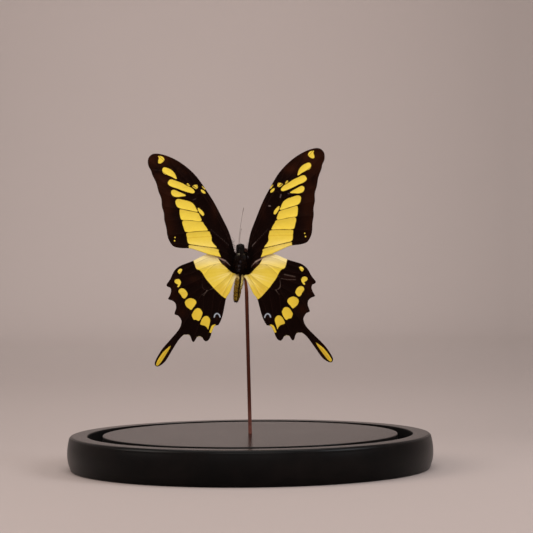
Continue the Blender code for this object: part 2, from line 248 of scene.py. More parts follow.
# %% Sweep the profile round the axis
def ring_points(profile, steps):
    """Every point of the profile carried round Z in equal steps."""
    turns = np.arange(steps) * 2 * math.pi / steps
    return [(r * math.cos(t), r * math.sin(t), z) for r, z in profile for t in turns]


def swept(profile, steps):
    """Rings of the profile round Z, closed on the axis at both ends."""
    points = ring_points(profile, steps)
    faces = []
    for ring in range(len(profile) - 1):
        for k in range(steps):
            a, b = ring * steps + k, ring * steps + (k + 1) % steps
            faces.append((a, a + steps, b + steps, b))
    start, end = len(points), len(points) + 1
    points += [(0.0, 0.0, profile[0][1]), (0.0, 0.0, profile[-1][1])]
    last = (len(profile) - 1) * steps
    for k in range(steps):
        faces.append((start, k, (k + 1) % steps))
        faces.append((end, last + (k + 1) % steps, last + k))
    return points, faces


# %% [markdown]
# Black stain goes into wood unevenly, and wax fills it to a soft satin. Three things make that finish
# believable: long grain running one way through the whole disc, the fine rings the turning tool left, and a
# little dust and rubbing that change mostly the gloss. The groove is never polished, so it stays dull, and
# the rounded edge, which every hand touches, is a little less glossy than the top. Colour stays almost
# black, so most of the character is in the roughness and in a very shallow bump.

# %% The black stained and waxed wood
TOOL_MARK_GAP = 0.55
GROOVE_DULL_Z = (16.6, 16.0)
GROOVE_DULL_RADII = (82.2, 81.5)
HANDLED_RADII = (87.6, 89.8)


def black_stained_wood():
    finish, tree, shader = new_finish("black_stained_wood", (0.004, 0.0035, 0.0035, 1), 0.24, 0.09)
    along = (1.0, 0.09, 1.0)
    pores = grain(tree, 900.0, 4.0, 0.6, along)
    bands = grain(tree, 70.0, 3.0, 0.5, along, 0.6)
    where = add_node(tree, "TexCoord").outputs["Object"]
    axes = add_node(tree, "SeparateXYZ", {"Vector": where}).outputs
    flat = add_node(tree, "CombineXYZ", {"X": axes["X"], "Y": axes["Y"]}).outputs[0]
    radius = add_node(tree, "VectorMath", {0: flat}, operation="LENGTH").outputs["Value"]
    rings = maths(tree, "SINE", times(tree, radius, 2 * math.pi / (TOOL_MARK_GAP * MM)))
    dust = soft_step(tree, grain(tree, 260.0, 5.0, 0.75), 0.52, 0.75)
    rubbed = grain(tree, 24.0, 3.0, 0.5)
    dark, brown = (0.0012, 0.0010, 0.0010, 1), (0.0036, 0.0026, 0.0023, 1)
    colour = blend_colours(tree, soft_step(tree, bands, 0.35, 0.75), dark, brown)
    colour = blend_colours(tree, times(tree, dust, 0.006), colour, (0.16, 0.14, 0.13, 1))
    gloss = stretched(tree, rubbed, 0.195, 0.235)
    gloss = plus(tree, gloss, times(tree, dust, 0.03))
    low_down = soft_step(tree, axes["Z"], *(z * MM for z in GROOVE_DULL_Z))
    sunk = times(tree, low_down, soft_step(tree, radius, *(r * MM for r in GROOVE_DULL_RADII)))
    gloss = plus(tree, gloss, times(tree, sunk, 0.5))
    handled = soft_step(tree, radius, *(r * MM for r in HANDLED_RADII))
    gloss = plus(tree, gloss, times(tree, handled, 0.1))
    bump = raised(tree, pores, 0.012, 0.4)
    bump = raised(tree, rings, 0.003, 0.3, bump)
    feed(tree, shader, base_color=colour, roughness=gloss, normal=bump)
    return finish


BASE_STEPS = 288
hand_in("turned_base", *swept(base_profile(), BASE_STEPS), black_stained_wood(), "turned_wood", ["base"])

# %% [markdown]
# ## The wire
# The insect stands on one straight wire, browned by heat and filed thin where it enters the body. A tube is
# a row of rings strung on a path. The same helper will later make feelers, legs and the tongue, so it takes
# any path and any thickness, and it turns the rings without a twist from one to the next.

# %% A tube along a path
def strung_faces(rings, sides):
    """The faces of a row of rings, closed at both ends by the two points that follow them."""
    faces = []
    last = (rings - 1) * sides
    for k in range(sides):
        after = (k + 1) % sides
        for ring in range(0, last, sides):
            faces.append((ring + k, ring + after, ring + sides + after, ring + sides + k))
        faces.append((last + sides, after, k))
        faces.append((last + sides + 1, last + k, last + after))
    return faces


def tube(path, radii, sides=12):
    """Closed tube: points and faces. Its rings stay square to the path and don't twist."""
    path = np.asarray(path, float)
    along = np.gradient(path, axis=0)
    along /= np.linalg.norm(along, axis=1)[:, None]
    side = np.cross(along[0], (0.0, 1.0, 0.0) if abs(along[0][1]) < 0.9 else (1.0, 0.0, 0.0))
    turns = np.arange(sides) * 2 * math.pi / sides
    points = []
    for centre, ahead, radius in zip(path, along, radii):
        side = side - ahead * side.dot(ahead)
        side /= np.linalg.norm(side)
        up = np.cross(ahead, side)
        points.append(centre + radius * (np.cos(turns)[:, None] * side + np.sin(turns)[:, None] * up))
    return np.concatenate(points + [path[:1], path[-1:]]), strung_faces(len(path), sides)


def joined(shapes):
    """Several (points, faces) as one."""
    points, faces, start = [], [], 0
    for shape_points, shape_faces in shapes:
        points.append(np.asarray(shape_points))
        faces += [tuple(start + index for index in face) for face in shape_faces]
        start += len(shape_points)
    return np.concatenate(points), faces


# %% The wire and its browned finish
ROD_RADIUS = 0.9
ROD_FOOT_BEVEL = 0.15
ROD_TIP_RADIUS = 0.4
ROD_FOOT_Z = 8.0
ROD_TAPER_Z = 87.0
ROD_TIP_Z = 99.0
ROD_LEAN = math.tan(math.radians(0.95))
ROD_TIP_BEND = 1.3


def filed_share(z):
    """0 below the filed end, rising to 1 at its tip."""
    return max(0.0, (z - ROD_TAPER_Z) / (ROD_TIP_Z - ROD_TAPER_Z))


def wire_point(z):
    return (-ROD_LEAN * (z - BASE_HEIGHT) - ROD_TIP_BEND * filed_share(z) ** 1.5, 0.0, z)


def wire_radius(z):
    uneven = 0.012 * noise.noise(Vector((0.0, 3.7, z * 0.35)))
    return ROD_RADIUS + (ROD_TIP_RADIUS - ROD_RADIUS) * filed_share(z) + uneven


def browned_wire():
    finish, tree, shader = new_finish("browned_wire", (0.1, 0.04, 0.03, 1), 0.42, 0.06)
    where = add_node(tree, "TexCoord").outputs["Object"]
    height = add_node(tree, "SeparateXYZ", {"Vector": where}).outputs["Z"]
    height = plus(tree, height, times(tree, grain(tree, 60.0), 0.02))
    streaks = grain(tree, 900.0, 4.0, 0.6, (1.0, 1.0, 0.05))
    blotches = grain(tree, 160.0, 4.0, 0.65)
    # The paler colour low on the wire is a painted reflection of the base below it, and the redder colour at
    # its top is painted light from above.
    low_painted_reflection, dark, red = (0.15, 0.052, 0.040, 1), (0.048, 0.011, 0.005, 1), (0.18, 0.050, 0.018, 1)
    colour = blend_colours(tree, soft_step(tree, height, 0.026, 0.050), low_painted_reflection, dark)
    colour = blend_colours(tree, soft_step(tree, height, 0.088, 0.104), colour, red)
    colour = blend_colours(tree, soft_step(tree, blotches, 0.45, 0.75), colour, (0.035, 0.014, 0.011, 1))
    gloss = stretched(tree, streaks, 0.35, 0.55)
    bump = raised(tree, streaks, 0.02, 0.5)
    feed(tree, shader, base_color=colour, roughness=gloss, normal=bump)
    return finish


wire_heights = np.linspace(ROD_FOOT_Z + 0.5, ROD_TIP_Z, 190)
wire_heights = np.concatenate([[ROD_FOOT_Z, ROD_FOOT_Z + ROD_FOOT_BEVEL], wire_heights])
wire_radii = [wire_radius(z) for z in wire_heights]
wire_radii[0] -= ROD_FOOT_BEVEL
wire_shape = tube([wire_point(z) for z in wire_heights], wire_radii, 32)
hand_in("browned_wire", *wire_shape, browned_wire(), "wire", ["rod"])

# %% [markdown]
# ## The specimen's place
# The insect leans a touch to one side on its wire. Everything that belongs to it is worked out around the
# middle of its thorax, with X to its right as it is seen from its upper side, Y towards its underside and Z
# towards its head. One matrix then puts all of it in place.

# %% Where the insect stands
SPECIMEN_CENTRE = Vector((-4.1, -1.2, 102.0)) * MM
SPECIMEN_LEAN = math.radians(-1.5)
SPECIMEN_PLACE = Matrix.Translation(SPECIMEN_CENTRE) @ Matrix.Rotation(SPECIMEN_LEAN, 4, "Y")
print("specimen centre, mm:", [round(value / MM, 1) for value in SPECIMEN_CENTRE])

# %% [markdown]
# ## The wings
# A swallowtail's wing is a dry sheet about a tenth of a millimetre thick. A fan of stiff veins holds it
# open, and overlapping scales colour it, so its pattern has crisp but slightly ragged edges. A picture
# could be laid on it, but here the pattern is drawn as outlines in millimetres. The sheet is cut into small
# triangles whose edges follow the veins, and each point learns how far it is from the nearest pale patch,
# from a vein and from the wing's edge. The finish turns those distances into colour, sharp at any size.
#
# U runs from the body outwards and V towards the head, for a right wing. A left wing is its mirror image.

# %% Outlines of the two wings, in smooth runs that meet at corners
FOREWING_RUNS = [
    [
        (3.0, 4.6), (5.1, 14.1), (8.6, 22.4), (12.0, 29.7), (16.0, 36.6), (20.3, 43.1), (25.1, 48.0),
        (30.3, 51.7), (36.0, 54.2), (40.6, 54.7), (43.1, 52.6), (43.3, 49.2), (42.05, 46.4),
        (41.55, 44.4), (39.85, 40.3), (38.95, 36.3), (37.75, 32.5), (37.6, 28.9), (36.8, 25.3),
        (36.7, 21.8), (35.95, 18.2), (35.65, 14.8), (34.9, 11.9), (32.9, 8.9), (29.4, 7.85),
        (24.6, 7.4), (19.5, 5.5), (15.4, 3.9), (10.0, 2.4), (4.3, 0.2),
    ],
    [(4.3, 0.2), (2.3, 0.3), (1.7, 1.6), (1.8, 3.4), (3.0, 4.6)],
]
HINDWING_RUNS = [
    [
        (4.2, 0.9), (6.5, 2.0), (10.0, 4.1), (14.0, 4.6), (18.2, 3.4), (22.9, 1.2), (26.6, -0.1),
        (29.9, -1.3), (32.2, -3.0), (33.4, -4.7), (34.15, -6.2), (34.75, -7.4), (35.65, -8.7),
        (36.5, -9.8), (36.75, -10.6), (36.1, -11.4), (35.1, -11.75), (34.6, -13.1), (35.1, -15.1),
        (35.9, -16.6), (36.2, -17.3), (35.6, -17.75), (34.1, -18.3), (32.75, -19.6), (32.45, -21.7),
        (33.05, -23.6), (33.35, -24.7), (32.9, -25.25), (31.65, -25.75), (30.35, -27.5), (30.15, -29.3),
        (31.5, -32.5), (35.7, -37.2), (40.2, -42.1), (43.2, -46.8), (43.9, -49.3), (42.4, -50.4),
        (38.9, -48.2), (35.4, -43.1), (32.4, -38.6), (30.8, -36.7), (29.4, -35.55), (28.0, -35.25),
        (26.5, -35.6), (25.8, -36.6), (25.4, -38.0), (24.9, -38.85), (24.3, -38.95), (23.6, -38.1),
        (22.8, -36.85), (21.4, -36.5), (20.1, -37.15), (19.45, -38.2), (18.4, -38.95), (17.0, -38.25),
        (15.95, -36.4), (15.5, -34.9), (14.9, -33.5), (14.0, -31.75), (12.9, -31.25), (12.0, -31.2),
    ],
    [
        (12.0, -31.2), (10.85, -29.3), (9.65, -26.2), (8.55, -21.7), (7.6, -17.9), (5.75, -15.2),
        (4.1, -11.4), (2.2, -7.6),
    ],
    [(2.2, -7.6), (1.2, -6.6), (1.0, -4.2), (1.2, -1.5), (2.2, 0.6), (4.2, 0.9)],
]


# %% Smooth lines through points
def smooth_line(points, step):
    """Catmull-Rom line through the points, with a point about every step."""
    knots = np.asarray(points, float)
    ends = np.vstack([2 * knots[0] - knots[1], knots, 2 * knots[-1] - knots[-2]])
    line = []
    for before, start, end, after in zip(ends, ends[1:], ends[2:], ends[3:]):
        count = max(1, int(round(np.linalg.norm(end - start) / step)))
        for t in np.arange(count) / count:
            curve = 2 * start + (end - before) * t + (2 * before - 5 * start + 4 * end - after) * t ** 2
            line.append(0.5 * (curve + (3 * start - before - 3 * end + after) * t ** 3))
    return np.array(line + [knots[-1]])


def smooth_loop(points, step):
    """The same, closed and round everywhere. The last point isn't repeated."""
    knots = np.asarray(points, float)
    wrapped = np.vstack([knots[-2:], knots, knots[:3]])
    line = smooth_line(wrapped, step)
    counts = [max(1, int(round(np.linalg.norm(b - a) / step))) for a, b in zip(wrapped, wrapped[1:])]
    return line[sum(counts[:2]):sum(counts[:2 + len(knots)])]


def outline_of(runs, step):
    return np.vstack([smooth_line(run, step)[:-1] for run in runs])


# %% Distances on the sheet
AT_ONCE = 2000


def nearest(points, starts, ends):
    """Each point's distance to the nearest of the straight pieces."""
    found = np.full(len(points), np.inf)
    reach = ends - starts
    length2 = np.maximum((reach ** 2).sum(1), 1e-12)
    for low in range(0, len(points), AT_ONCE):
        gap = points[low:low + AT_ONCE, None, :] - starts
        share = np.clip((gap * reach).sum(2) / length2, 0, 1)
        away = gap - share[..., None] * reach
        found[low:low + AT_ONCE] = np.sqrt((away ** 2).sum(2)).min(1)
    return found


def inside(points, loop):
    """True where a point is inside the closed loop."""
    x, y = points[:, 0][:, None], points[:, 1][:, None]
    x1, y1 = loop[:, 0], loop[:, 1]
    x2, y2 = np.roll(x1, -1), np.roll(y1, -1)
    across = (y1 > y) != (y2 > y)
    with np.errstate(divide="ignore", invalid="ignore"):
        crossing = x1 + (y - y1) * (x2 - x1) / (y2 - y1)
    return (across & (x < crossing)).sum(1) % 2 == 1


def depth_in(points, loops):
    """How deep each point is inside any of the loops, in millimetres. It is negative outside all of them."""
    deepest = np.full(len(points), -np.inf)
    for loop in loops:
        away = nearest(points, loop, np.roll(loop, -1, axis=0))
        deepest = np.maximum(deepest, np.where(inside(points, loop), away, -away))
    return deepest


def unit(vectors):
    return vectors / np.maximum(np.linalg.norm(vectors, axis=-1, keepdims=True), 1e-9)


def away_from(points, lines):
    starts = np.vstack([line[:-1] for line in lines])
    ends = np.vstack([line[1:] for line in lines])
    return nearest(points, starts, ends)


# %% [markdown]
# ### Veins
# On a dried wing the veins stand a little proud on both sides. They fan out from a long closed cell near the
# body to the wing's edge, and the pale patches lie between them. A swallowtail's pattern of veins is the
# same from one specimen to the next, so each vein is one line of a few points.

# %% The veins of each wing
FOREWING_VEINS = [
    [(3.4, 4.5), (5.9, 13.6), (9.5, 22.0), (13.0, 29.2), (15.3, 33.4), (16.8, 36.6), (18.3, 39.3)],
    [
        (3.6, 4.2), (6.6, 12.8), (10.6, 21.6), (14.6, 29.3), (16.6, 32.8), (18.7, 36.3), (21.5, 40.2),
        (24.3, 46.8),
    ],
    [(14.6, 29.3), (17.5, 33.6), (20.9, 37.6), (24.4, 40.4), (30.5, 48.0), (32.5, 52.7)],
    [(18.7, 36.1), (22.6, 38.2), (27.5, 41.0), (33.5, 48.9), (38.6, 54.4)],
    [(27.5, 41.0), (31.0, 42.0), (37.4, 46.4), (40.0, 49.5), (42.9, 51.6)],
    [(19.0, 34.4), (21.7, 34.3), (25.2, 34.7), (30.2, 36.9), (34.0, 39.1), (38.0, 42.0), (41.5, 44.4)],
    [(20.8, 31.6), (22.6, 31.2), (25.0, 32.4), (28.5, 32.7), (31.8, 33.0), (35.5, 34.9), (38.7, 36.3)],
    [(19.4, 24.3), (20.4, 25.05), (24.5, 26.1), (28.9, 27.2), (33.0, 28.2), (37.4, 28.9)],
    [(17.6, 20.3), (20.5, 20.55), (23.5, 21.1), (28.0, 21.6), (32.5, 21.9), (36.6, 21.8)],
    [(14.6, 15.7), (18.5, 15.7), (22.0, 15.55), (26.4, 15.2), (31.0, 14.9), (35.6, 14.6)],
    [
        (3.9, 3.2), (6.5, 7.8), (10.5, 12.3), (14.6, 15.7), (17.6, 20.3), (19.4, 24.3), (20.7, 28.0),
        (20.8, 31.6),
    ],
    [(20.8, 31.6), (20.4, 33.3), (19.0, 34.4), (17.5, 33.6)],
    [
        (4.2, 2.3), (8.0, 4.8), (12.3, 7.0), (17.0, 7.95), (22.0, 8.85), (25.2, 9.4), (29.5, 9.9),
        (33.8, 10.1),
    ],
]
HINDWING_VEINS = [
    [(4.3, -1.0), (7.0, 0.9), (10.5, 2.4), (16.0, 2.2), (22.5, -0.6), (28.0, -3.0), (32.8, -5.3)],
    [(4.2, -1.8), (7.5, -1.2), (12.0, -0.9), (18.0, -2.6), (25.0, -5.2), (30.8, -6.5), (36.3, -10.0)],
    [(12.0, -0.9), (15.5, -3.4), (18.5, -7.0), (19.2, -9.4), (19.2, -12.0), (18.4, -13.2), (17.0, -13.8)],
    [(18.5, -7.0), (23.5, -9.3), (29.0, -11.4), (31.9, -12.9), (35.8, -16.6)],
    [(19.2, -12.0), (23.5, -14.5), (27.6, -17.4), (30.2, -20.4), (32.8, -25.0)],
    [
        (18.4, -13.2), (21.2, -18.0), (23.6, -22.0), (26.0, -25.4), (29.3, -30.2), (34.5, -38.5),
        (39.5, -44.9), (42.9, -49.4),
    ],
    [
        (17.0, -13.8), (18.6, -17.0), (18.9, -21.5), (19.4, -25.0), (20.8, -28.8), (22.4, -32.5),
        (24.5, -38.4),
    ],
    [(3.9, -5.0), (8.0, -8.7), (13.0, -12.5), (17.0, -13.8)],
    [
        (13.0, -12.5), (14.1, -18.0), (15.0, -24.5), (15.6, -29.5), (16.2, -32.5), (17.1, -35.0),
        (18.4, -38.5),
    ],
    [(3.7, -6.2), (7.2, -12.5), (10.4, -19.5), (12.2, -25.5), (13.6, -31.2)],
]

# %% [markdown]
# ### The pale patches
# Every patch is one closed outline. The band across the forewing is a row of blocks with a dark vein between
# each pair, the hindwing has one large patch near the body and a row of moons near its edge, and the tail
# ends in a drop.

# %% Pale patches of the forewing
FOREWING_PATCHES = [
    [
        (35.3, 51.7), (35.9, 52.9), (37.1, 53.5), (38.4, 53.5), (38.0, 52.6), (38.3, 51.4),
        (38.4, 50.2), (37.6, 49.8), (36.7, 50.1), (35.7, 50.9),
    ],
    [
        (29.7, 41.9), (29.8, 42.6), (30.2, 43.9), (31.0, 45.3), (32.3, 46.6), (33.8, 47.4),
        (35.2, 47.85), (36.0, 47.7), (36.5, 47.0), (36.55, 45.9), (36.25, 45.15), (35.5, 44.5),
        (34.0, 43.95), (32.1, 43.05), (30.8, 42.25), (30.1, 41.85),
    ],
    [
        (21.2, 35.1), (21.4, 35.8), (22.7, 37.2), (24.8, 38.3), (27.5, 39.9), (30.2, 41.0),
        (31.8, 41.7), (33.1, 41.7), (33.9, 40.8), (34.2, 40.0), (33.7, 39.1), (32.5, 38.2),
        (30.2, 37.4), (27.5, 36.2), (25.2, 35.3), (23.3, 34.7), (22.0, 34.5),
    ],
    [
        (25.6, 33.7), (27.2, 34.7), (29.5, 35.8), (31.2, 36.6), (32.3, 36.4), (32.8, 35.5),
        (32.5, 34.3), (31.6, 33.4), (29.8, 33.0), (27.5, 33.2), (26.2, 33.3),
    ],
    [
        (20.5, 25.3), (20.9, 27.0), (21.6, 28.5), (22.6, 29.75), (24.4, 30.75), (26.8, 31.45),
        (29.0, 32.0), (30.3, 31.8), (30.9, 31.0), (30.75, 29.6), (30.1, 28.2), (28.6, 27.3),
        (25.0, 26.4),
    ],
    [
        (17.2, 23.5), (17.15, 24.3), (17.95, 25.7), (19.3, 26.95), (20.05, 27.25), (20.15, 26.6),
        (19.7, 25.4), (18.6, 23.85), (17.8, 23.2),
    ],
    [
        (20.2, 24.8), (24.5, 25.9), (28.5, 26.9), (29.1, 25.8), (29.0, 24.0), (28.5, 22.0),
        (27.2, 21.4), (23.5, 21.2), (20.5, 20.7), (18.6, 20.9), (18.8, 22.3), (19.5, 23.8),
    ],
    [
        (18.5, 20.4), (23.5, 21.0), (27.4, 21.2), (28.0, 20.0), (27.5, 18.0), (27.0, 16.3),
        (26.0, 15.6), (22.0, 15.7), (16.5, 15.8), (15.7, 16.1), (16.2, 17.3), (17.4, 19.0),
    ],
    [
        (15.5, 15.5), (22.0, 15.4), (25.5, 15.3), (26.3, 14.7), (26.1, 13.0), (25.9, 11.0), (25.1, 9.7),
        (22.0, 9.0), (17.0, 8.0), (12.5, 7.3), (11.7, 7.5), (13.2, 9.3), (14.0, 10.8), (14.0, 12.5),
        (14.5, 14.2),
    ],
    [
        (11.3, 6.5), (17.0, 7.7), (22.0, 8.65), (25.2, 9.15), (25.3, 8.2), (25.1, 7.0), (19.5, 4.9),
        (15.4, 3.3), (10.1, 1.9), (10.5, 4.2), (10.9, 5.2),
    ],
    [(19.5, 37.6), (20.1, 38.7), (21.1, 38.6), (22.4, 38.1), (21.8, 37.3), (20.6, 36.55), (19.8, 36.75)],
    [(23.3, 38.3), (24.3, 39.5), (25.0, 39.5), (25.0, 39.0), (23.9, 38.2)],
    [(16.0, 34.1), (16.1, 34.9), (17.0, 35.8), (18.0, 36.2), (18.1, 35.3), (17.1, 34.3)],
    [(15.7, 35.9), (16.2, 36.9), (17.4, 38.1), (17.5, 37.4), (16.6, 36.3)],
    [(31.5, 13.2), (31.9, 13.6), (32.3, 13.2), (31.9, 12.8)],
    [(31.8, 11.6), (32.2, 12.05), (32.6, 11.6), (32.2, 11.15)],
]

# %% Pale patches of the hindwing
HINDWING_PATCHES = [
    [
        (11.4, 2.9), (12.4, 5.4), (14.2, 5.6), (18.4, 4.4), (23.4, 2.0), (23.1, 1.0), (22.5, -1.2),
        (21.8, -3.0), (20.2, -3.8), (18.9, -5.3), (17.4, -8.0), (15.5, -10.5), (13.6, -12.9),
        (11.4, -15.2), (9.6, -17.0), (7.8, -18.2), (5.8, -18.6), (3.0, -12.9), (1.2, -9.4),
        (-0.2, -7.2), (1.6, -6.1), (4.0, -5.7), (5.8, -4.2), (7.5, -2.5), (9.3, -0.8), (10.3, 0.8),
    ],
    [(28.5, -3.0), (29.5, -2.4), (30.5, -2.8), (31.3, -3.9), (30.7, -5.1), (30.0, -5.4), (29.0, -4.2)],
    [
        (29.4, -9.2), (30.1, -7.8), (31.3, -7.4), (32.6, -7.9), (33.0, -9.2), (32.0, -10.2),
        (31.3, -10.6), (31.8, -11.3), (31.0, -12.0), (29.9, -10.8),
    ],
    [
        (26.35, -15.0), (27.4, -13.0), (29.0, -12.1), (30.6, -12.5), (31.2, -14.0), (30.25, -15.5),
        (29.3, -17.1), (28.2, -17.6), (27.2, -17.0), (26.6, -16.1),
    ],
    [
        (22.2, -19.5), (23.1, -17.9), (25.4, -17.1), (27.5, -18.0), (28.3, -19.5), (27.6, -21.5),
        (26.0, -22.9), (25.0, -23.4), (23.8, -22.1), (22.9, -21.0),
    ],
    [
        (19.4, -25.0), (19.6, -24.0), (20.5, -22.6), (22.0, -22.15), (23.5, -22.9), (24.7, -24.7),
        (25.1, -25.6), (25.0, -26.5), (24.2, -28.1), (22.75, -28.4), (22.0, -28.9), (21.1, -28.7),
        (20.0, -27.0),
    ],
    [
        (15.75, -29.2), (15.9, -27.75), (17.0, -26.4), (18.5, -26.25), (19.75, -27.2), (20.75, -29.0),
        (21.1, -30.5), (20.2, -31.0), (18.75, -31.5), (17.75, -32.5), (17.1, -33.7), (16.5, -32.0),
    ],
    [(13.3, -30.9), (15.1, -31.2), (16.0, -32.9), (16.5, -34.6), (15.2, -34.8), (14.3, -33.2)],
]
TAIL_DROP = [
    (35.7, -40.4), (37.4, -41.5), (39.5, -43.3), (41.4, -45.7), (42.8, -48.0), (43.3, -49.4),
    (42.6, -50.0), (41.1, -48.7), (39.2, -46.1), (37.2, -43.1),
]

# %% [markdown]
# ### Cutting a sheet
# The triangles come from a constrained triangulation: it joins scattered points into triangles, and keeps
# every edge it is told to keep. Here those are the outline and the veins, so a vein is a true ridge in the
# mesh and never a row of steps. The points between lie on a staggered grid, shaken a little so that no
# rows show.

# %% Cut one flat sheet into triangles along its veins
POINT_GAP = 0.34
EDGE_CLEARANCE = 0.2
ROW_PITCH = 0.866
INSIDE_ONLY = 1
MERGE_WITHIN = 1e-4


def cut_sheet(outline, veins, seed):
    """Points (u, v) and triangles of the flat sheet, all turned the same way."""
    shaken = np.random.default_rng(seed)
    chains = []
    for vein in veins:
        line = smooth_line(vein, POINT_GAP)
        clear = inside(line, outline) & (depth_in(line, [outline]) > EDGE_CLEARANCE)
        chains.append(line[clear])
    low, high = outline.min(0), outline.max(0)
    rows = np.arange(low[1], high[1], POINT_GAP * ROW_PITCH)
    columns = np.arange(low[0], high[0], POINT_GAP)
    grid = np.array([(u + 0.5 * POINT_GAP * (row % 2), v) for row, v in enumerate(rows) for u in columns])
    grid += shaken.normal(0, 0.06 * POINT_GAP, grid.shape)
    grid = grid[inside(grid, outline)]
    grid = grid[depth_in(grid, [outline]) > EDGE_CLEARANCE]
    grid = grid[away_from(grid, chains) > 0.6 * POINT_GAP]
    given = [outline] + chains + [grid]
    edges, start = [], len(outline)
    for chain in chains:
        edges += [(start + i, start + i + 1) for i in range(len(chain) - 1)]
        start += len(chain)
    loop = list(range(len(outline)))
    flat = [Vector(point) for point in np.vstack(given)]
    points, _, triangles, *_ = delaunay_2d_cdt(flat, edges, [loop], INSIDE_ONLY, MERGE_WITHIN)
    points = np.array([tuple(point) for point in points])
    triangles = np.array([tuple(triangle) for triangle in triangles])
    one, two, three = (points[triangles[:, k]] for k in range(3))
    turned = (two - one)[:, 0] * (three - one)[:, 1] - (two - one)[:, 1] * (three - one)[:, 0] < 0
    triangles[turned] = triangles[turned][:, ::-1]
    return points, triangles, chains


def rim_of(triangles):
    """The edges that only one triangle uses, in that triangle's direction."""
    ends = np.concatenate([triangles[:, [0, 1]], triangles[:, [1, 2]], triangles[:, [2, 0]]])
    _, first, count = np.unique(np.sort(ends, 1), axis=0, return_index=True, return_counts=True)
    return ends[first[count == 1]]


# %% [markdown]
# ### From a flat sheet to a wing
# A spread wing isn't flat. It slopes back from the body, its far end has relaxed forwards, the membrane sags
# between the veins, and old sheets ripple. Each effect is one term of the depth below. The sheet then gets
# its two faces: the veins stand out on both, more so near the body, and the edge thins out.

# %% Depth, ripple and thickness
WING_ROOT_X = 4.0
WING_REACH = 66.0
WING_DROOP = 1.5
SHEET_HALF = 0.055
EDGE_HALF = 0.02
VEIN_PROUD = 0.075
VEIN_WIDTH = 0.2
PLEAT = 0.2
RIPPLE = 0.22


def wing_depth(points, root_depth, slope_deg):
    u, v = points.T
    slope = (u - WING_ROOT_X) * math.tan(math.radians(slope_deg))
    return root_depth - slope + WING_DROOP * (np.hypot(u, v) / WING_REACH) ** 3


def ripple(points, seed):
    waves = [
        noise.noise(Vector((u * 0.09, v * 0.09, seed)))
        + 0.22 * noise.noise(Vector((u * 0.45, v * 0.45, seed + 5)))
        for u, v in points
    ]
    near_body = np.clip((points[:, 0] - 6.0) / 10.0, 0, 1)
    return RIPPLE * np.array(waves) * near_body


def blob(points, u, v, reach_u, reach_v):
    """1 at a place on the wing, falling softly to 0 within about twice its reach."""
    return np.exp(-(((points[:, 0] - u) / reach_u) ** 2 + ((points[:, 1] - v) / reach_v) ** 2))


def streak(points, line, width):
    """1 along a line, falling to 0 within the width."""
    away = away_from(points, [smooth_line(line, 0.3)])
    return np.clip(1.25 - away / width, 0, 1)


# %% [markdown]
# ### What a wing knows about itself
# The finish reads eight numbers at each point: the depth inside a pale patch, the distance from a vein, the
# distance from the edge, and five strengths. These say how brown the black ground is, how creamy the yellow
# is, how far it goes towards ochre, where grey or rubbed scales lie, and how bluish those are. On the
# hindwing the ochre strength also carries painted shade, which darkens the yellow low on the wing. The upper
# and the under side each have their own. The underside is a maker's guess: wider and creamier yellow, a
# browner ground, a row of spots along the forewing's edge, and bluish and rusty spots on the hindwing.

# %% The forewing's own markings
FOREWING_BROWN = [(26.5, 45.0, 4.5, 2.6, 0.9), (31.0, 50.0, 4.5, 2.6, 0.7), (12.0, 27.0, 1.6, 6.0, 0.45)]
BROWN_MARGIN_U = (29.0, 34.0)
FOREWING_PALE_LINES = [
    ([(5.9, 8.2), (8.3, 10.8), (10.9, 13.2), (14.2, 16.4)], 0.14, 0.34),
    ([(3.7, 5.6), (5.6, 11.0), (8.6, 18.0)], 0.16, 0.2),
    ([(4.3, 5.0), (6.7, 10.5), (9.6, 16.5)], 0.14, 0.18),
]
FOREWING_RUBBED = {
    "left": [
        ([(37.0, 46.2), (39.0, 46.6), (41.4, 46.9)], 0.2, 0.26),
        ([(20.8, 31.8), (22.2, 31.2)], 0.5, 0.25),
    ],
    "right": [
        ([(14.9, 27.6), (15.6, 27.5)], 0.4, 0.7),
        ([(5.7, 8.0), (6.6, 9.1), (7.6, 10.1)], 0.26, 0.5),
        ([(20.7, 31.4), (21.2, 32.9)], 0.4, 0.5),
        ([(24.6, 33.3), (25.3, 33.0)], 0.35, 0.4),
    ],
}
CELL_FOLD = [(13.8, 12.9), (19.0, 12.9), (26.0, 12.6)]
UNDER_FOREWING_SPOTS = [
    (33.6, 12.2), (34.2, 18.2), (34.9, 25.3), (35.8, 32.0), (37.4, 38.8), (39.2, 44.4), (40.4, 48.6),
]
UNDER_CELL_RAY = [(7.0, 11.0), (11.0, 17.0), (15.0, 24.5)]


def forewing_marks(points, side, upper):
    patches = [smooth_loop(patch, 0.35) for patch in FOREWING_PATCHES]
    pale = depth_in(points, patches)
    brown = sum(strength * blob(points, u, v, a, b) for u, v, a, b, strength in FOREWING_BROWN)
    start, full = BROWN_MARGIN_U
    margin = np.clip((points[:, 0] - start) / (full - start), 0, 1)
    brown = np.maximum(brown, margin * np.clip(0.4 + points[:, 1] / 110.0, 0, 1))
    frost = np.zeros(len(points))
    for line, width, strength in FOREWING_PALE_LINES + (FOREWING_RUBBED[side] if upper else []):
        frost = np.maximum(frost, strength * streak(points, line, width))
    cream = 0.08 + 0.2 * blob(points, 20.0, 8.0, 9.0, 3.0)
    fold = 0.5 * streak(points, CELL_FOLD, 0.22)
    if not upper:
        gaps = np.array(UNDER_FOREWING_SPOTS)
        pale = np.maximum(pale + 0.5, 0.85 - nearest(points, gaps, gaps))
        pale = np.maximum(pale, 0.9 * streak(points, UNDER_CELL_RAY, 1.0) - 0.4)
    return pale, np.clip(brown, 0, 1), cream, fold, frost, np.zeros(len(points))


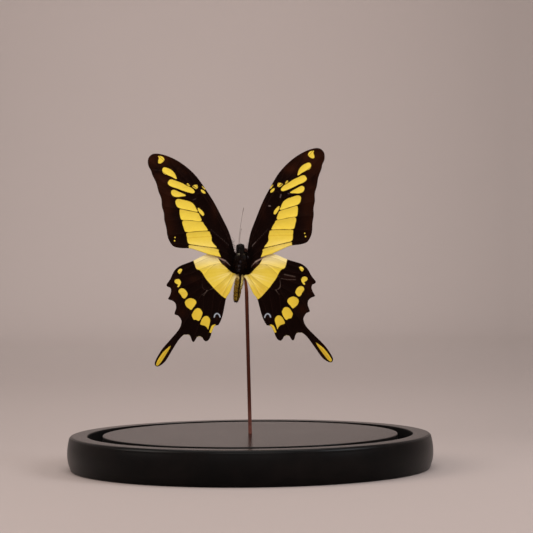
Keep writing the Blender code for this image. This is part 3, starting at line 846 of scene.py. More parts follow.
# %% The hindwing's own markings
HINDWING_BROWN = [
    (24.0, -8.0, 3.0, 1.8, 0.5), (33.5, -13.0, 2.5, 6.0, 0.45), (30.0, -23.5, 3.0, 3.0, 0.45),
    (7.2, -1.4, 2.0, 1.3, 1.0), (38.0, -45.0, 5.0, 5.0, 0.35),
]
CELL_END = [
    [(18.5, -7.0), (19.1, -9.4), (19.2, -12.0), (18.4, -13.2), (17.0, -13.8), (14.6, -13.4)],
    [(17.0, -13.8), (18.7, -16.4)],
]
PINK_STREAK = [(5.2, -2.1), (6.1, -0.9), (7.5, 0.5), (10.3, 1.9), (12.8, 3.3), (14.8, 4.1)]
BLUE_ARCH = [(11.0, -27.2), (11.5, -26.0), (12.5, -25.4), (13.5, -26.0), (13.9, -27.1)]
OLIVE_DASH = [(16.8, -35.0), (17.3, -36.2), (17.9, -37.3)]
CREAM_SCALLOPS = [
    [(20.2, -37.1), (21.4, -36.5), (22.7, -36.8)],
    [(26.5, -35.6), (28.0, -35.25), (29.4, -35.55)],
]
GREY_RUBS = {
    "left": [([(14.0, -13.0), (17.0, -14.2), (19.6, -16.0)], 0.22, 0.3)],
    "right": [
        ([(21.5, -6.3), (24.0, -6.9), (26.6, -7.6)], 0.55, 0.28),
        ([(19.6, -8.2), (23.0, -8.9), (27.0, -9.0)], 0.3, 0.3),
    ],
}
MOON_TRIM = 0.22
CELL_MIDDLE = (12.0, -8.0)
UNDER_PALE_FIELD = [
    (-2.0, 3.0), (6.0, 3.4), (14.0, 5.6), (21.0, 3.4), (25.5, 0.0), (26.2, -4.0), (25.6, -8.5),
    (23.6, -12.0), (21.0, -15.2), (18.2, -18.8), (16.2, -22.6), (13.0, -24.6), (8.5, -23.0),
    (4.0, -16.0), (-1.0, -8.0),
]


def fan_of_rays(points):
    """Soft rays out of the root, from -1 to 1, that fade with the distance from it."""
    u, v = points[:, 0] - 0.5, points[:, 1] + 4.0
    turn = np.arctan2(v, u)
    return np.sin(19.0 * turn) * np.sin(31.0 * turn + 1.0) * np.exp(-(np.hypot(u, v) / 13.0) ** 2)


def hindwing_marks(points, side, upper):
    u, v = points.T
    drop = [smooth_loop(TAIL_DROP, 0.35)]
    patches = [smooth_loop(patch, 0.35) for patch in HINDWING_PATCHES]
    moons = depth_in(points, patches[1:-1]) - MOON_TRIM
    pale = np.maximum(depth_in(points, patches[:1] + patches[-1:] + drop), moons)
    if not upper:
        pale = np.maximum(pale + 0.4, depth_in(points, [smooth_loop(UNDER_PALE_FIELD, 0.5)]))
    scallops = np.maximum.reduce([streak(points, line, 0.36) for line in CREAM_SCALLOPS])
    pale = np.maximum(pale, np.where(scallops > 0.02, 0.5 * scallops - 0.28, -9.0))
    pink = np.maximum(streak(points, PINK_STREAK[2:], 0.5), 0.75 * streak(points, PINK_STREAK[:3], 0.27))
    frost = (0.9 if upper else 0.0) * pink
    for line, strength in zip(CELL_END, (0.2, 0.36) if side == "left" else (0.36, 0.36)):
        frost = np.maximum(frost, strength * streak(points, line, 0.16))
    for line, width, strength in GREY_RUBS[side] if upper else []:
        frost = np.maximum(frost, strength * streak(points, line, width))
    frost = np.maximum(frost, 0.25 * blob(points, 8.0, -0.2, 1.9, 0.9))
    pale = np.maximum(pale, np.where(streak(points, OLIVE_DASH, 0.2) > 0.05, -0.1, -9.0))
    frost = np.maximum(frost, streak(points, BLUE_ARCH, 0.37))
    brown = sum(strength * blob(points, a, b, c, d) for a, b, c, d, strength in HINDWING_BROWN)
    brown = np.maximum(brown, 0.3 * blob(points, 12.6, -28.0, 1.1, 1.2))
    cream = np.clip((v + 4.5) / 8.5, 0, 1) * np.clip((u - 6.0) / 5.0, 0, 1)
    spokes = fan_of_rays(points)
    bluish = (v < -20) * (v > -33)
    soft_cream = 0.07 * (v > -17.0) + 0.45 * np.clip(-spokes, 0, 1)
    cream = np.maximum(cream, soft_cream + 0.15 * blob(points, 8.0, -8.0, 4.0, 4.0))
    inner_edge = away_from(points, [smooth_line(HINDWING_RUNS[-2], 0.4)])
    cream = np.maximum(cream, (0.9 - 0.4 * inner_edge) * np.clip((v + 13.0) / 4.0, 0, 1))
    ochre_and_shade = 0.6 * np.clip(depth_in(points, drop) * 0.6 + 0.6, 0, 1) * (v < -39) + 0.2 * (v < -30) * (v > -39)
    # Painted shade: these two tints darken the hindwing's yellow in its middle and low on its outer part,
    # where the curved sheet turns away from the light.
    ochre_and_shade = np.maximum(ochre_and_shade, 0.42 * blob(points, 9.5, -14.5, 3.4, 3.8))
    ochre_and_shade = np.maximum(ochre_and_shade, 0.26 * (u > 16.0) * (v < -14.0))
    ochre_and_shade = np.maximum(ochre_and_shade, 0.3 * np.clip(spokes, 0, 1)) * (scallops < 0.02)
    cream = np.maximum(cream, 0.8 * (scallops > 0.02))
    if not upper:
        for patch in HINDWING_PATCHES[1:7]:
            middle = np.mean(patch, axis=0)
            inward = unit(np.array(CELL_MIDDLE) - middle)
            frost = np.maximum(frost, 0.8 * blob(points, *(middle + 2.7 * inward), 0.75, 0.75))
            ochre_and_shade = np.maximum(ochre_and_shade, blob(points, *(middle + 5.2 * inward), 1.1, 1.1))
        bluish = np.ones(len(points))
    return pale, np.clip(brown, 0, 1), np.clip(cream, 0, 1), ochre_and_shade, frost, bluish * 1.0


# %% [markdown]
# ### The finish of the scales
# Two sharp steps do most of the work: one where a point passes into a pale patch, and one where it reaches a
# vein. A fine noise is added to the distance first, because a border of scales is never a clean line. Each
# scale is about a tenth of a millimetre long, so a tiny cell pattern gives rows of them a slightly
# different shade and a shallow bump. Scales are matt, and the bare veins shine a little more.

# %% Scale finish, shared by all four wings
YELLOW, CREAM = (0.815, 0.608, 0.058, 1), (0.985, 0.865, 0.45, 1)
OCHRE, BLUE_GREY = (0.60, 0.335, 0.020, 1), (0.42, 0.46, 0.52, 1)


def scale_finish(name, vein_dark, frost):
    finish, tree, shader = new_finish(name, (0.01, 0.005, 0.004, 1), 0.66, 0.02)
    ragged = times(tree, minus(tree, grain(tree, 4200.0, 2.0), 0.5), 0.34)
    deep = plus(tree, number_at_point(tree, "pale"), ragged)
    pale = soft_step(tree, deep, -0.09, 0.09)
    vein = number_at_point(tree, "vein")
    on_vein = soft_step(tree, plus(tree, vein, times(tree, ragged, 0.25)), 0.17, 0.05)
    near_edge = soft_step(tree, number_at_point(tree, "edge"), 0.34, 0.1)
    where = add_node(tree, "TexCoord").outputs["Object"]
    rows = add_node(tree, "Mapping", {"Vector": where, "Scale": (1.0, 0.4, 0.62)}).outputs["Vector"]
    cells = add_node(tree, "TexVoronoi", {"Vector": rows, "Scale": 9000.0, "Randomness": 0.8})
    cell_tone = add_node(tree, "SeparateColor", {"Color": cells.outputs["Color"]}).outputs[0]
    mottle = grain(tree, 700.0, 4.0, 0.6)
    clouds = grain(tree, 120.0, 3.0, 0.55)

    black, brown = (0.0046, 0.0013, 0.0008, 1), (0.0245, 0.0060, 0.0022, 1)
    browned = times(tree, number_at_point(tree, "brown"), soft_step(tree, clouds, 0.2, 0.65))
    ground = blend_colours(tree, browned, black, brown)
    loose = soft_step(tree, plus(tree, cell_tone, times(tree, mottle, 0.5)), 1.02, 1.35)
    ground = blend_colours(tree, times(tree, loose, 0.12), ground, (0.04, 0.018, 0.012, 1))
    ground = blend_colours(tree, times(tree, on_vein, 0.2), ground, (0.03, 0.013, 0.010, 1))

    creamy = plus(tree, number_at_point(tree, "cream"), times(tree, mottle, 0.16))
    patch = blend_colours(tree, soft_step(tree, creamy, 0.05, 1.05), YELLOW, CREAM)
    # On the hindwing this ochre tint also carries painted shade.
    patch = blend_colours(tree, number_at_point(tree, "ochre_and_shade"), patch, OCHRE)
    shade = stretched(tree, cell_tone, 0.0, 0.12)
    patch = blend_colours(tree, shade, patch, (0.55, 0.36, 0.03, 1))
    thin = soft_step(tree, deep, 0.32, 0.02)
    patch = blend_colours(tree, times(tree, thin, 0.25), patch, (0.34, 0.18, 0.015, 1))
    patch = blend_colours(tree, times(tree, on_vein, vein_dark), patch, (0.10, 0.045, 0.012, 1))

    whole = blend_colours(tree, pale, ground, patch)
    frosted = plus(tree, number_at_point(tree, "frost"), times(tree, ragged, 0.6))
    frosted = soft_step(tree, frosted, 0.08, 1.0)
    tone = blend_colours(tree, number_at_point(tree, "blue"), frost, BLUE_GREY)
    whole = blend_colours(tree, frosted, whole, tone)
    on_ground = minus(tree, 0.8, times(tree, pale, 0.6))
    whole = blend_colours(tree, times(tree, near_edge, on_ground), whole, (0.014, 0.006, 0.004, 1))

    gloss = stretched(tree, mottle, 0.52, 0.78)
    gloss = minus(tree, gloss, times(tree, on_vein, 0.14))
    bump = raised(tree, cells.outputs["Distance"], 0.02, 0.5)
    bump = raised(tree, mottle, 0.05, 0.35, bump)
    feed(tree, shader, base_color=whole, roughness=gloss, normal=bump)
    return finish


fore_scales = scale_finish("forewing_scales", 0.75, (0.30, 0.22, 0.20, 1))
hind_scales = scale_finish("hindwing_scales", 0.3, (0.50, 0.36, 0.30, 1))
print("scale finishes:", fore_scales.name, hind_scales.name)

# %% [markdown]
# ### The four wings
# One function makes any wing. A left wing uses the same outline with its X turned round, so its triangles
# are turned round too, or its faces would point inwards. Each wing gets its own seed, so the two sides
# ripple and fray differently, as they do on a real specimen.

# %% Make a wing
WINGS = {
    "forewing": (FOREWING_RUNS, FOREWING_VEINS, forewing_marks, -2.1, 11.0, 0.42, -0.7, fore_scales),
    "hindwing": (HINDWING_RUNS, HINDWING_VEINS, hindwing_marks, -1.3, 8.0, 0.05, 0.0, hind_scales),
}
ROOT_RAISE = {"left": 0.5, "right": -0.5}


def wing_place(kind, side):
    shift_x, turn_deg = WINGS[kind][5:7]
    shift = Vector((shift_x, 0.0, ROOT_RAISE[side])) * MM
    return SPECIMEN_PLACE @ Matrix.Translation(shift) @ Matrix.Rotation(math.radians(turn_deg), 4, "Y")


def make_wing(kind, side, seed):
    runs, veins, marks, root_depth, slope_deg, _, _, finish = WINGS[kind]
    outline = outline_of(runs, POINT_GAP)
    flat, triangles, chains = cut_sheet(outline, veins, seed)
    vein = away_from(flat, chains)
    edge = nearest(flat, outline, np.roll(outline, -1, axis=0))
    middle = wing_depth(flat, root_depth, slope_deg) + ripple(flat, seed * 7.0)
    middle += PLEAT * (1 - np.exp(-(vein / 1.3) ** 2)) * np.clip(edge / 2.0, 0, 1)
    half = EDGE_HALF + (SHEET_HALF - EDGE_HALF) * np.clip(edge / 0.5, 0, 1)
    stout = 1.0 + 1.3 * np.exp(-np.hypot(*flat.T) / 14.0)
    half += VEIN_PROUD * stout * np.exp(-(vein / VEIN_WIDTH) ** 2) * np.clip(edge / 1.5, 0, 1)
    sign = -1.0 if side == "left" else 1.0
    upper = np.column_stack([sign * flat[:, 0], middle - half, flat[:, 1]])
    under = np.column_stack([sign * flat[:, 0], middle + half, flat[:, 1]])
    count = len(flat)
    rim = rim_of(triangles)
    rim_faces = np.column_stack([rim[:, 1], rim[:, 0], rim[:, 0] + count, rim[:, 1] + count])
    faces = [triangles, triangles[:, ::-1] + count]
    if side == "left":
        faces, rim_faces = [sheet[:, ::-1] for sheet in faces], rim_faces[:, ::-1]
    faces = np.concatenate(faces).tolist() + rim_faces.tolist()
    wing = hand_in(
        f"{kind}_sheet_{side}", np.vstack([upper, under]), faces, finish, "wing_scales",
        [f"{kind}_{side}"], wing_place(kind, side), range(len(faces) - len(rim), len(faces)),
    )
    both = [marks(flat, side, True), marks(flat, side, False)]
    for index, name in enumerate(("pale", "brown", "cream", "ochre_and_shade", "frost", "blue")):
        values = [np.array(one[index], float) for one in both]
        if name in ("brown", "cream"):
            values[1] = np.clip(values[1] + 0.45, 0, 1)
        paint(wing, name, np.concatenate(values))
    paint(wing, "vein", np.concatenate([vein, vein]))
    paint(wing, "edge", np.concatenate([edge, edge]))


WING_PAIRS = [(kind, side) for kind in ("forewing", "hindwing") for side in ("left", "right")]
for seed, (kind, side) in enumerate(WING_PAIRS, 1):
    make_wing(kind, side, seed)

# %% [markdown]
# ## Hair
# A butterfly's thorax is as furry as a bumblebee. Particle hair would be quick to add, but it is only drawn
# when a picture is made, and a model that others will use needs real mesh. So every hair is a tiny closed
# rod with three sides, two joints and a point. Thousands of them are worked out at once as arrays and joined
# into one piece, and each keeps its own colour.

# %% Grow many hairs at once
HAIR_STEPS = ((-0.08, 1.0), (0.35, 0.85), (0.7, 0.5))
HAIR_SIDES = ((0, 1), (1, 2), (2, 0))
HAIR_FACES = np.array([(k + a, k + b, k + 3 + b, k + 3 + a) for k in (0, 3) for a, b in HAIR_SIDES])
HAIR_ENDS = np.array([(0, 2, 1)] + [(6 + a, 6 + b, 9) for a, b in HAIR_SIDES])


def hairs(roots, aims, lengths, thickness, sag, draw):
    """Points and faces of closed hairs. Each bends by sag, which is a share of its own length."""
    aims = unit(aims)
    side = unit(np.cross(aims, draw.normal(size=aims.shape)))
    up = np.cross(aims, side)
    length = lengths[:, None]
    points = np.zeros((len(roots), 10, 3))
    for ring, (share, width) in enumerate(HAIR_STEPS):
        centre = roots + aims * length * share + sag * length * share * abs(share)
        for k in range(3):
            turn = 2 * math.pi * k / 3
            out = math.cos(turn) * side + math.sin(turn) * up
            points[:, 3 * ring + k] = centre + thickness * width * out
    points[:, 9] = roots + (aims + sag) * length
    first = 10 * np.arange(len(roots))[:, None, None]
    sides = (HAIR_FACES + first).reshape(-1, 4).tolist()
    return points.reshape(-1, 3), sides + (HAIR_ENDS + first).reshape(-1, 3).tolist()


def paint_hairs(piece, colours):
    """One colour for each hair's ten points."""
    layer = piece.data.attributes.new("hair_colour", "FLOAT_COLOR", "POINT")
    full = np.ones((len(colours), 4), np.float32)
    full[:, :3] = colours
    layer.data.foreach_set("color", np.repeat(full, 10, axis=0).ravel())


def hair_finish(name, roughness, specular):
    finish, tree, shader = new_finish(name, (0.02, 0.015, 0.012, 1), roughness, specular)
    own = add_node(tree, "Attribute", attribute_name="hair_colour").outputs["Color"]
    darker = blend_colours(tree, 0.55, own, (0.004, 0.003, 0.003, 1))
    colour = blend_colours(tree, soft_step(tree, grain(tree, 1500.0, 2.0), 0.35, 0.65), darker, own)
    gloss = stretched(tree, grain(tree, 5000.0, 2.0), roughness - 0.1, roughness + 0.1)
    feed(tree, shader, base_color=colour, roughness=gloss)
    return finish


body_hair = hair_finish("body_hair", 0.75, 0.015)


# %% Round bodies and points on them
def ellipsoid(centre, radii, around, along):
    """Points and faces, with the poles on Z."""
    tilts = np.linspace(0, math.pi, along + 1)[1:-1]
    turns = np.arange(around) * 2 * math.pi / around
    ball = [
        (math.sin(tilt) * math.cos(turn), math.sin(tilt) * math.sin(turn), math.cos(tilt))
        for tilt in tilts
        for turn in turns
    ]
    points = np.array(ball + [(0, 0, 1), (0, 0, -1)]) * radii + centre
    last = (along - 2) * around
    faces = []
    for k in range(around):
        after = (k + 1) % around
        for ring in range(0, last, around):
            faces.append((ring + k, ring + around + k, ring + around + after, ring + after))
        faces.append((last + around, k, after))
        faces.append((last + around + 1, last + after, last + k))
    return points, faces


def boxed(points, centre, radii, power=4.5):
    """Moves the points of an ellipsoid out to a rounded box of the same width, depth and height."""
    share = (points - centre) / radii
    scale = (np.abs(share) ** power).sum(1) ** (-1.0 / power)
    return centre + scale[:, None] * share * radii


def scattered_on(centre, radii, count, draw):
    """Even points on an ellipsoid, and the way out at each."""
    ball = unit(draw.normal(size=(count * 2, 3)))
    stretch = np.linalg.norm(ball / radii, axis=1)
    ball = ball[draw.random(len(ball)) < stretch / stretch.max()][:count]
    return ball * radii + centre, unit(ball / radii)


# %% [markdown]
# ## The thorax
# Under the fur is a horny box. It has a groove down the middle of its back, a small shield behind, and two
# shoulder covers over the roots of the wings. Little of it shows, but the fur has to stand on the right
# shape, so an ellipsoid gets these features as smooth swellings.

# %% The thorax and its finish
THORAX_RADII = np.array((3.15, 3.6, 5.3))


def swollen(points, centre, reach, height):
    """Lifts points near a centre away from the body's middle."""
    near = np.exp(-(((points - centre) / reach) ** 2).sum(1))
    return points + unit(points) * (height * near)[:, None]


def horn_finish(name, dark, light, roughness, specular):
    finish, tree, shader = new_finish(name, dark, roughness, specular)
    mottle = grain(tree, 900.0, 4.0, 0.6)
    feed(
        tree, shader,
        base_color=blend_colours(tree, soft_step(tree, mottle, 0.35, 0.7), dark, light),
        roughness=stretched(tree, mottle, roughness - 0.1, roughness + 0.15),
        normal=raised(tree, grain(tree, 5000.0, 3.0), 0.02, 0.5),
    )
    return finish


dark_horn = horn_finish("dark_horn", (0.008, 0.005, 0.004, 1), (0.03, 0.017, 0.011, 1), 0.42, 0.4)
thorax_skin = horn_finish("thorax_skin", (0.004, 0.0026, 0.0022, 1), (0.009, 0.0055, 0.004, 1), 0.55, 0.1)
thorax_points, thorax_faces = ellipsoid((0.0, 0.0, 0.0), THORAX_RADII, 72, 56)
for side in (-1, 1):
    thorax_points = swollen(thorax_points, (side * 2.4, -1.8, 2.7), (1.1, 1.3, 1.6), 0.55)
thorax_points = swollen(thorax_points, (0.0, -3.3, -2.9), (1.1, 1.6, 0.9), 0.45)
thorax_points = swollen(thorax_points, (0.0, -3.6, 1.0), (0.35, 1.2, 2.6), -0.3)
hand_in("thorax_box", thorax_points, thorax_faces, thorax_skin, "body_hair", ["thorax"], SPECIMEN_PLACE)

# %% [markdown]
# ### Fur of the thorax
# The hairs leave the skin at a slant and sweep back towards the tail end. Most are black and some are brown.
# A few grey hairs, scattered and in small tufts, are painted glints on the fur. Two paler tufts stand on the
# collar behind the head. The roots of all four wings carry long hairs too, which lie flat on the sheet and
# hide where it meets the body.

# %% Grow the fur
BLACK_HAIR, BROWN_HAIR, GLINT_GREY_HAIR = (0.0062, 0.0026, 0.0019), (0.060, 0.024, 0.011), (0.10, 0.088, 0.098)
PALE_TUFTS = [
    ((-0.62, -2.6, 4.1), 0.26, (0.50, 0.46, 0.34), 70),
    ((1.8, -2.4, 4.0), 0.17, (0.12, 0.085, 0.055), 30),
]
BLACK_TUFTS = [((-1.6, -2.0, -4.6), 0.6, 260), ((0.3, -2.2, -4.9), 0.7, 260), ((2.7, -0.9, 4.3), 0.42, 260)]
# These grey hair tufts are painted glints on the fur.
GLINT_TUFTS = [
    ((0.0, -3.8, 0.5), 0.32, 24), ((-0.7, -3.8, -1.4), 0.3, 20), ((-1.1, -3.3, -3.4), 0.3, 8),
    ((-3.1, -1.6, 2.2), 0.3, 10), ((3.6, -2.4, 2.6), 0.4, 8),
]


def shades(colour, low, high, count, draw):
    """The same colour for every hair, darker on some and lighter on others."""
    return np.array(colour) * draw.uniform(low, high, (count, 1))


def thorax_fur(draw):
    """Roots, aims, lengths and colours of the coat."""
    roots, out = scattered_on((0, 0, 0), THORAX_RADII, 6200, draw)
    aims = 0.75 * out + np.array((0.0, 0.0, -0.75)) + draw.normal(0, 0.28, roots.shape)
    lengths = draw.uniform(0.55, 1.35, len(roots))
    kind = draw.random(len(roots))
    x, _, z = roots.T
    tangle = 0.5 + 0.5 * np.sin(2.9 * x + 1.3 * z) * np.sin(2.3 * z - 1.1 * x)
    brown = (kind < 0.45 * tangle)[:, None]
    colours = np.where(brown, BROWN_HAIR, BLACK_HAIR) * draw.uniform(0.6, 1.5, (len(roots), 1))
    # A few scattered grey hairs are painted glints.
    colours[kind > 0.99] = np.array(GLINT_GREY_HAIR) * 0.5
    return roots, aims, lengths, colours


def tuft(centre, spread, colour, count, draw, length=0.8):
    roots = np.array(centre) + draw.normal(0, spread, (count, 3)) * (1.0, 0.3, 0.8)
    aims = unit(np.array(centre)) * 0.6 + (0.0, -0.2, -0.7) + draw.normal(0, 0.25, roots.shape)
    lengths = draw.uniform(0.6, 1.2, count) * length
    return roots, aims, lengths, shades(colour, 0.6, 1.3, count, draw)


def root_fur(kind, side, count, draw):
    """Long hairs that lie on a wing's root, pointing outwards."""
    shift_x = WINGS[kind][5]
    root_depth, slope_deg = WINGS[kind][3:5]
    middle, spread = ((4.0, 4.4), (0.9, 2.4)) if kind == "forewing" else ((3.4, -2.4), (0.9, 1.2))
    flat = np.array(middle) + draw.normal(0, 1, (count, 2)) * spread
    flat[:, 0] = np.maximum(flat[:, 0], 2.4)
    flat[:, 1] = np.maximum(flat[:, 1], -4.6)
    sign = -1.0 if side == "left" else 1.0
    depth = wing_depth(flat, root_depth, slope_deg) - 0.15
    roots = np.column_stack([sign * flat[:, 0] + shift_x, depth, flat[:, 1] + ROOT_RAISE[side]])
    fan = 0.35 * (flat[:, 1] - middle[1]) / spread[1]
    ahead = np.column_stack([np.full(count, sign), np.full(count, -0.22), fan])
    aims = ahead + draw.normal(0, 0.15, roots.shape)
    colours = shades(BLACK_HAIR, 0.6, 1.6, count, draw)
    return roots, aims, draw.uniform(0.8, 2.0, count), colours


def grow(name, parts, thickness, sag, slot, draw, stands_for=()):
    """Joins several patches of hair into one piece and colours it."""
    roots, aims, lengths, colours = (np.concatenate([part[k] for part in parts]) for k in range(4))
    shape = hairs(roots, aims, lengths, thickness, np.array(sag), draw)
    piece = hand_in(name, *shape, body_hair, slot, stands_for, SPECIMEN_PLACE)
    paint_hairs(piece, colours)
    return piece


draw = np.random.default_rng(41)
coat = [thorax_fur(draw)]
coat += [tuft(centre, spread, colour, count, draw, 0.7) for centre, spread, colour, count in PALE_TUFTS]
coat += [tuft(centre, spread, GLINT_GREY_HAIR, count, draw, 1.1) for centre, spread, count in GLINT_TUFTS]
coat += [tuft(centre, spread, BLACK_HAIR, count, draw, 1.15) for centre, spread, count in BLACK_TUFTS]
grow("thorax_fur", coat, 0.035, (0.0, 0.0, -0.25), "body_hair", draw)
root_patches = [root_fur(kind, side, 620, draw) for kind, side in WING_PAIRS]
grow("wing_root_fur", root_patches, 0.03, (0.0, 0.05, 0.0), "body_hair", draw)

# %% [markdown]
# ## The head
# Two large round eyes take up most of it. They are made of thousands of tiny lenses, so they gleam softly
# like a blackberry. Between them are black hair and the two palps, short brushes that hold the tongue. A
# collar of upright hair hides the neck, and a small reddish flap stands beside it.

# %% The head, its eyes and its palps
HEAD_CENTRE = np.array((0.28, -0.3, 7.1))
HEAD_RADII = np.array((1.9, 1.6, 1.64))
EYE_OFFSET = np.array((1.12, -0.1, 0.1))
EYE_RADII = np.array((0.95, 1.15, 1.15))
PALP_OFFSET = np.array((0.5, 1.1, 0.8))
PALP_RADII = np.array((0.38, 0.48, 1.15))
NECK_CENTRE = np.array((0.28, -0.4, 5.2))
NECK_RADII = np.array((1.78, 1.6, 1.9))
LOBE_CENTRE = np.array((2.65, -0.4, 5.5))
LOBE_RADII = np.array((0.92, 0.56, 1.28))
RUSTY_HAIR = (0.44, 0.19, 0.15)


def sided(offset, side):
    return HEAD_CENTRE + offset * (side, 1.0, 1.0)


def eye_finish():
    finish, tree, shader = new_finish("faceted_eye", (0.012, 0.008, 0.006, 1), 0.3, 0.2)
    where = add_node(tree, "TexCoord").outputs["Object"]
    lenses = add_node(tree, "TexVoronoi", {"Vector": where, "Scale": 16000.0, "Randomness": 0.15})
    dark, light = (0.004, 0.003, 0.002, 1), (0.018, 0.010, 0.005, 1)
    tone = blend_colours(tree, soft_step(tree, grain(tree, 1200.0), 0.4, 0.7), dark, light)
    feed(tree, shader, base_color=tone, normal=raised(tree, lenses.outputs["Distance"], -0.02, 0.6))
    return finish


head_shapes = []
for centre, radii, around, along in ((HEAD_CENTRE, HEAD_RADII, 48, 36), (NECK_CENTRE, NECK_RADII, 40, 30)):
    points, faces = ellipsoid(centre, radii, around, along)
    head_shapes.append((boxed(points, centre, radii), faces))
head_shapes += [ellipsoid(LOBE_CENTRE, LOBE_RADII, 24, 20)]
head_shapes += [ellipsoid(sided(PALP_OFFSET, side), PALP_RADII, 20, 24) for side in (-1, 1)]
hand_in("head_capsule", *joined(head_shapes), thorax_skin, "body_hair", ["head"], SPECIMEN_PLACE)
eye_shapes = [ellipsoid(sided(EYE_OFFSET, side), EYE_RADII * 1.02, 48, 36) for side in (-1, 1)]
hand_in("eyes", *joined(eye_shapes), eye_finish(), "dark_horn", (), SPECIMEN_PLACE)


def head_fur(draw):
    roots, out = scattered_on(HEAD_CENTRE, HEAD_RADII, 2000, draw)
    roots = boxed(roots, HEAD_CENTRE, HEAD_RADII)
    aims = out + np.array((0.0, -0.1, 0.1)) + draw.normal(0, 0.3, roots.shape)
    colours = shades(BLACK_HAIR, 0.45, 1.35, len(roots), draw)
    clear = np.ones(len(roots), bool)
    for side in (-1, 1):
        clear &= (((roots - sided(EYE_OFFSET, side)) / EYE_RADII) ** 2).sum(1) > 1.05
    on_top = roots[:, 2] > HEAD_CENTRE[2] + 0.6
    lengths = draw.uniform(0.3, 0.65, len(roots)) * np.where(on_top, 0.55, 1.0)
    return roots[clear], aims[clear], lengths[clear], colours[clear]


def neck_fur(draw):
    """A short upright collar that hides the joint between the head and the thorax."""
    roots, out = scattered_on(NECK_CENTRE, NECK_RADII, 2000, draw)
    roots = boxed(roots, NECK_CENTRE, NECK_RADII)
    aims = out + np.array((0.0, -0.1, 0.35)) + draw.normal(0, 0.25, roots.shape)
    lengths = draw.uniform(0.25, 0.55, len(roots))
    return roots, aims, lengths, shades(BLACK_HAIR, 0.4, 1.4, len(roots), draw)


def lobe_fur(draw):
    """The rusty scales of the small flap that stands up beside the head."""
    roots, out = scattered_on(LOBE_CENTRE, LOBE_RADII, 900, draw)
    aims = out + np.array((0.1, -0.1, 0.4)) + draw.normal(0, 0.25, roots.shape)
    lengths = draw.uniform(0.2, 0.45, len(roots))
    return roots, aims, lengths, shades(RUSTY_HAIR, 0.3, 1.4, len(roots), draw)


def palp_fur(side, draw):
    roots, out = scattered_on(sided(PALP_OFFSET, side), PALP_RADII, 260, draw)
    aims = out + np.array((0.0, 0.2, 0.9)) + draw.normal(0, 0.2, roots.shape)
    lengths = draw.uniform(0.25, 0.55, len(roots))
    return roots, aims, lengths, shades(BLACK_HAIR, 0.6, 1.8, len(roots), draw)


# Pale spots on the face, partly the head's own pale scales and partly painted glints. The broad grey one on
# top of the head, second in the list, is a painted highlight.
FACE_SPOTS_AND_HIGHLIGHT = [
    ((-0.2, -2.0, 6.3), 0.16, (0.20, 0.17, 0.19), 12),
    ((0.15, -1.85, 8.0), 0.34, (0.075, 0.068, 0.064), 40),
    ((-0.4, -2.1, 5.2), 0.2, (0.13, 0.09, 0.07), 12),
    ((-1.2, -1.8, 6.7), 0.16, (0.10, 0.085, 0.085), 10),
]
head_coat = [head_fur(draw), palp_fur(-1, draw), palp_fur(1, draw), neck_fur(draw), lobe_fur(draw)]
head_coat += [tuft(centre, spread, colour, count, draw, 0.6) for centre, spread, colour, count in FACE_SPOTS_AND_HIGHLIGHT]
grow("head_fur", head_coat, 0.03, (0.0, 0.0, 0.0), "body_hair", draw)

# %% [markdown]
# ## The abdomen
# The abdomen is a soft row of rings that has dried hard. Each ring bulges a little and tucks under the one
# before it. It is olive yellow with a black stripe down the back and a pale line beside it, and the tip is
# dark. Because it dried with a slight twist, the stripe wanders to one side. The rings are strung on a path
# like a tube, and each point learns how far round the body and how far along it is.

# %% The abdomen's shape
ABDOMEN_AXIS = [
    (-0.2, 0.1, -4.9, 1.3), (-0.3, 0.1, -5.9, 1.8), (-0.5, 0.1, -7.2, 2.1), (-1.07, 0.2, -10.3, 2.2),
    (-1.8, 0.4, -13.1, 1.95), (-2.2, 0.6, -15.8, 1.8), (-2.65, 0.85, -18.0, 1.5),
    (-2.9, 0.95, -19.3, 1.0), (-3.0, 1.0, -19.75, 0.5),
]
ABDOMEN_RINGS = 7
AROUND = 80


def abdomen_shape():
    axis = smooth_line(ABDOMEN_AXIS, 0.12)
    share = np.linspace(0, 1, len(axis))
    along = unit(np.gradient(axis[:, :3], axis=0))
    points, turns, shares = [], [], []
    for centre, ahead, s in zip(axis, along, share):
        front = unit(np.array((0.0, -1.0, 0.0)) + ahead * ahead[1])
        right = np.cross(front, ahead)
        right = right if right[0] > 0 else -right
        angles = np.arange(AROUND) * 2 * math.pi / AROUND - math.pi
        phase = (s * ABDOMEN_RINGS) % 1.0
        tuck = 0.93 + 0.07 * math.sin(math.pi * min(1.0, phase * 1.15)) ** 0.6
        keel = 1.0 + 0.03 * np.cos(angles) ** 8
        radius = centre[3] * tuck * keel
        out = np.cos(angles)[:, None] * front + np.sin(angles)[:, None] * right
        points.append(centre[:3] + radius[:, None] * out)
        turns.append(np.degrees(angles))
        shares.append(np.full(AROUND, s))
    points = np.concatenate(points + [axis[:1, :3], axis[-1:, :3]])
    turns = np.concatenate(turns + [[0.0], [0.0]])
    shares = np.concatenate(shares + [[0.0], [1.0]])
    return points, strung_faces(len(axis), AROUND), turns, shares


# %% The abdomen's finish
STRIPE_DRIFT = 40.0


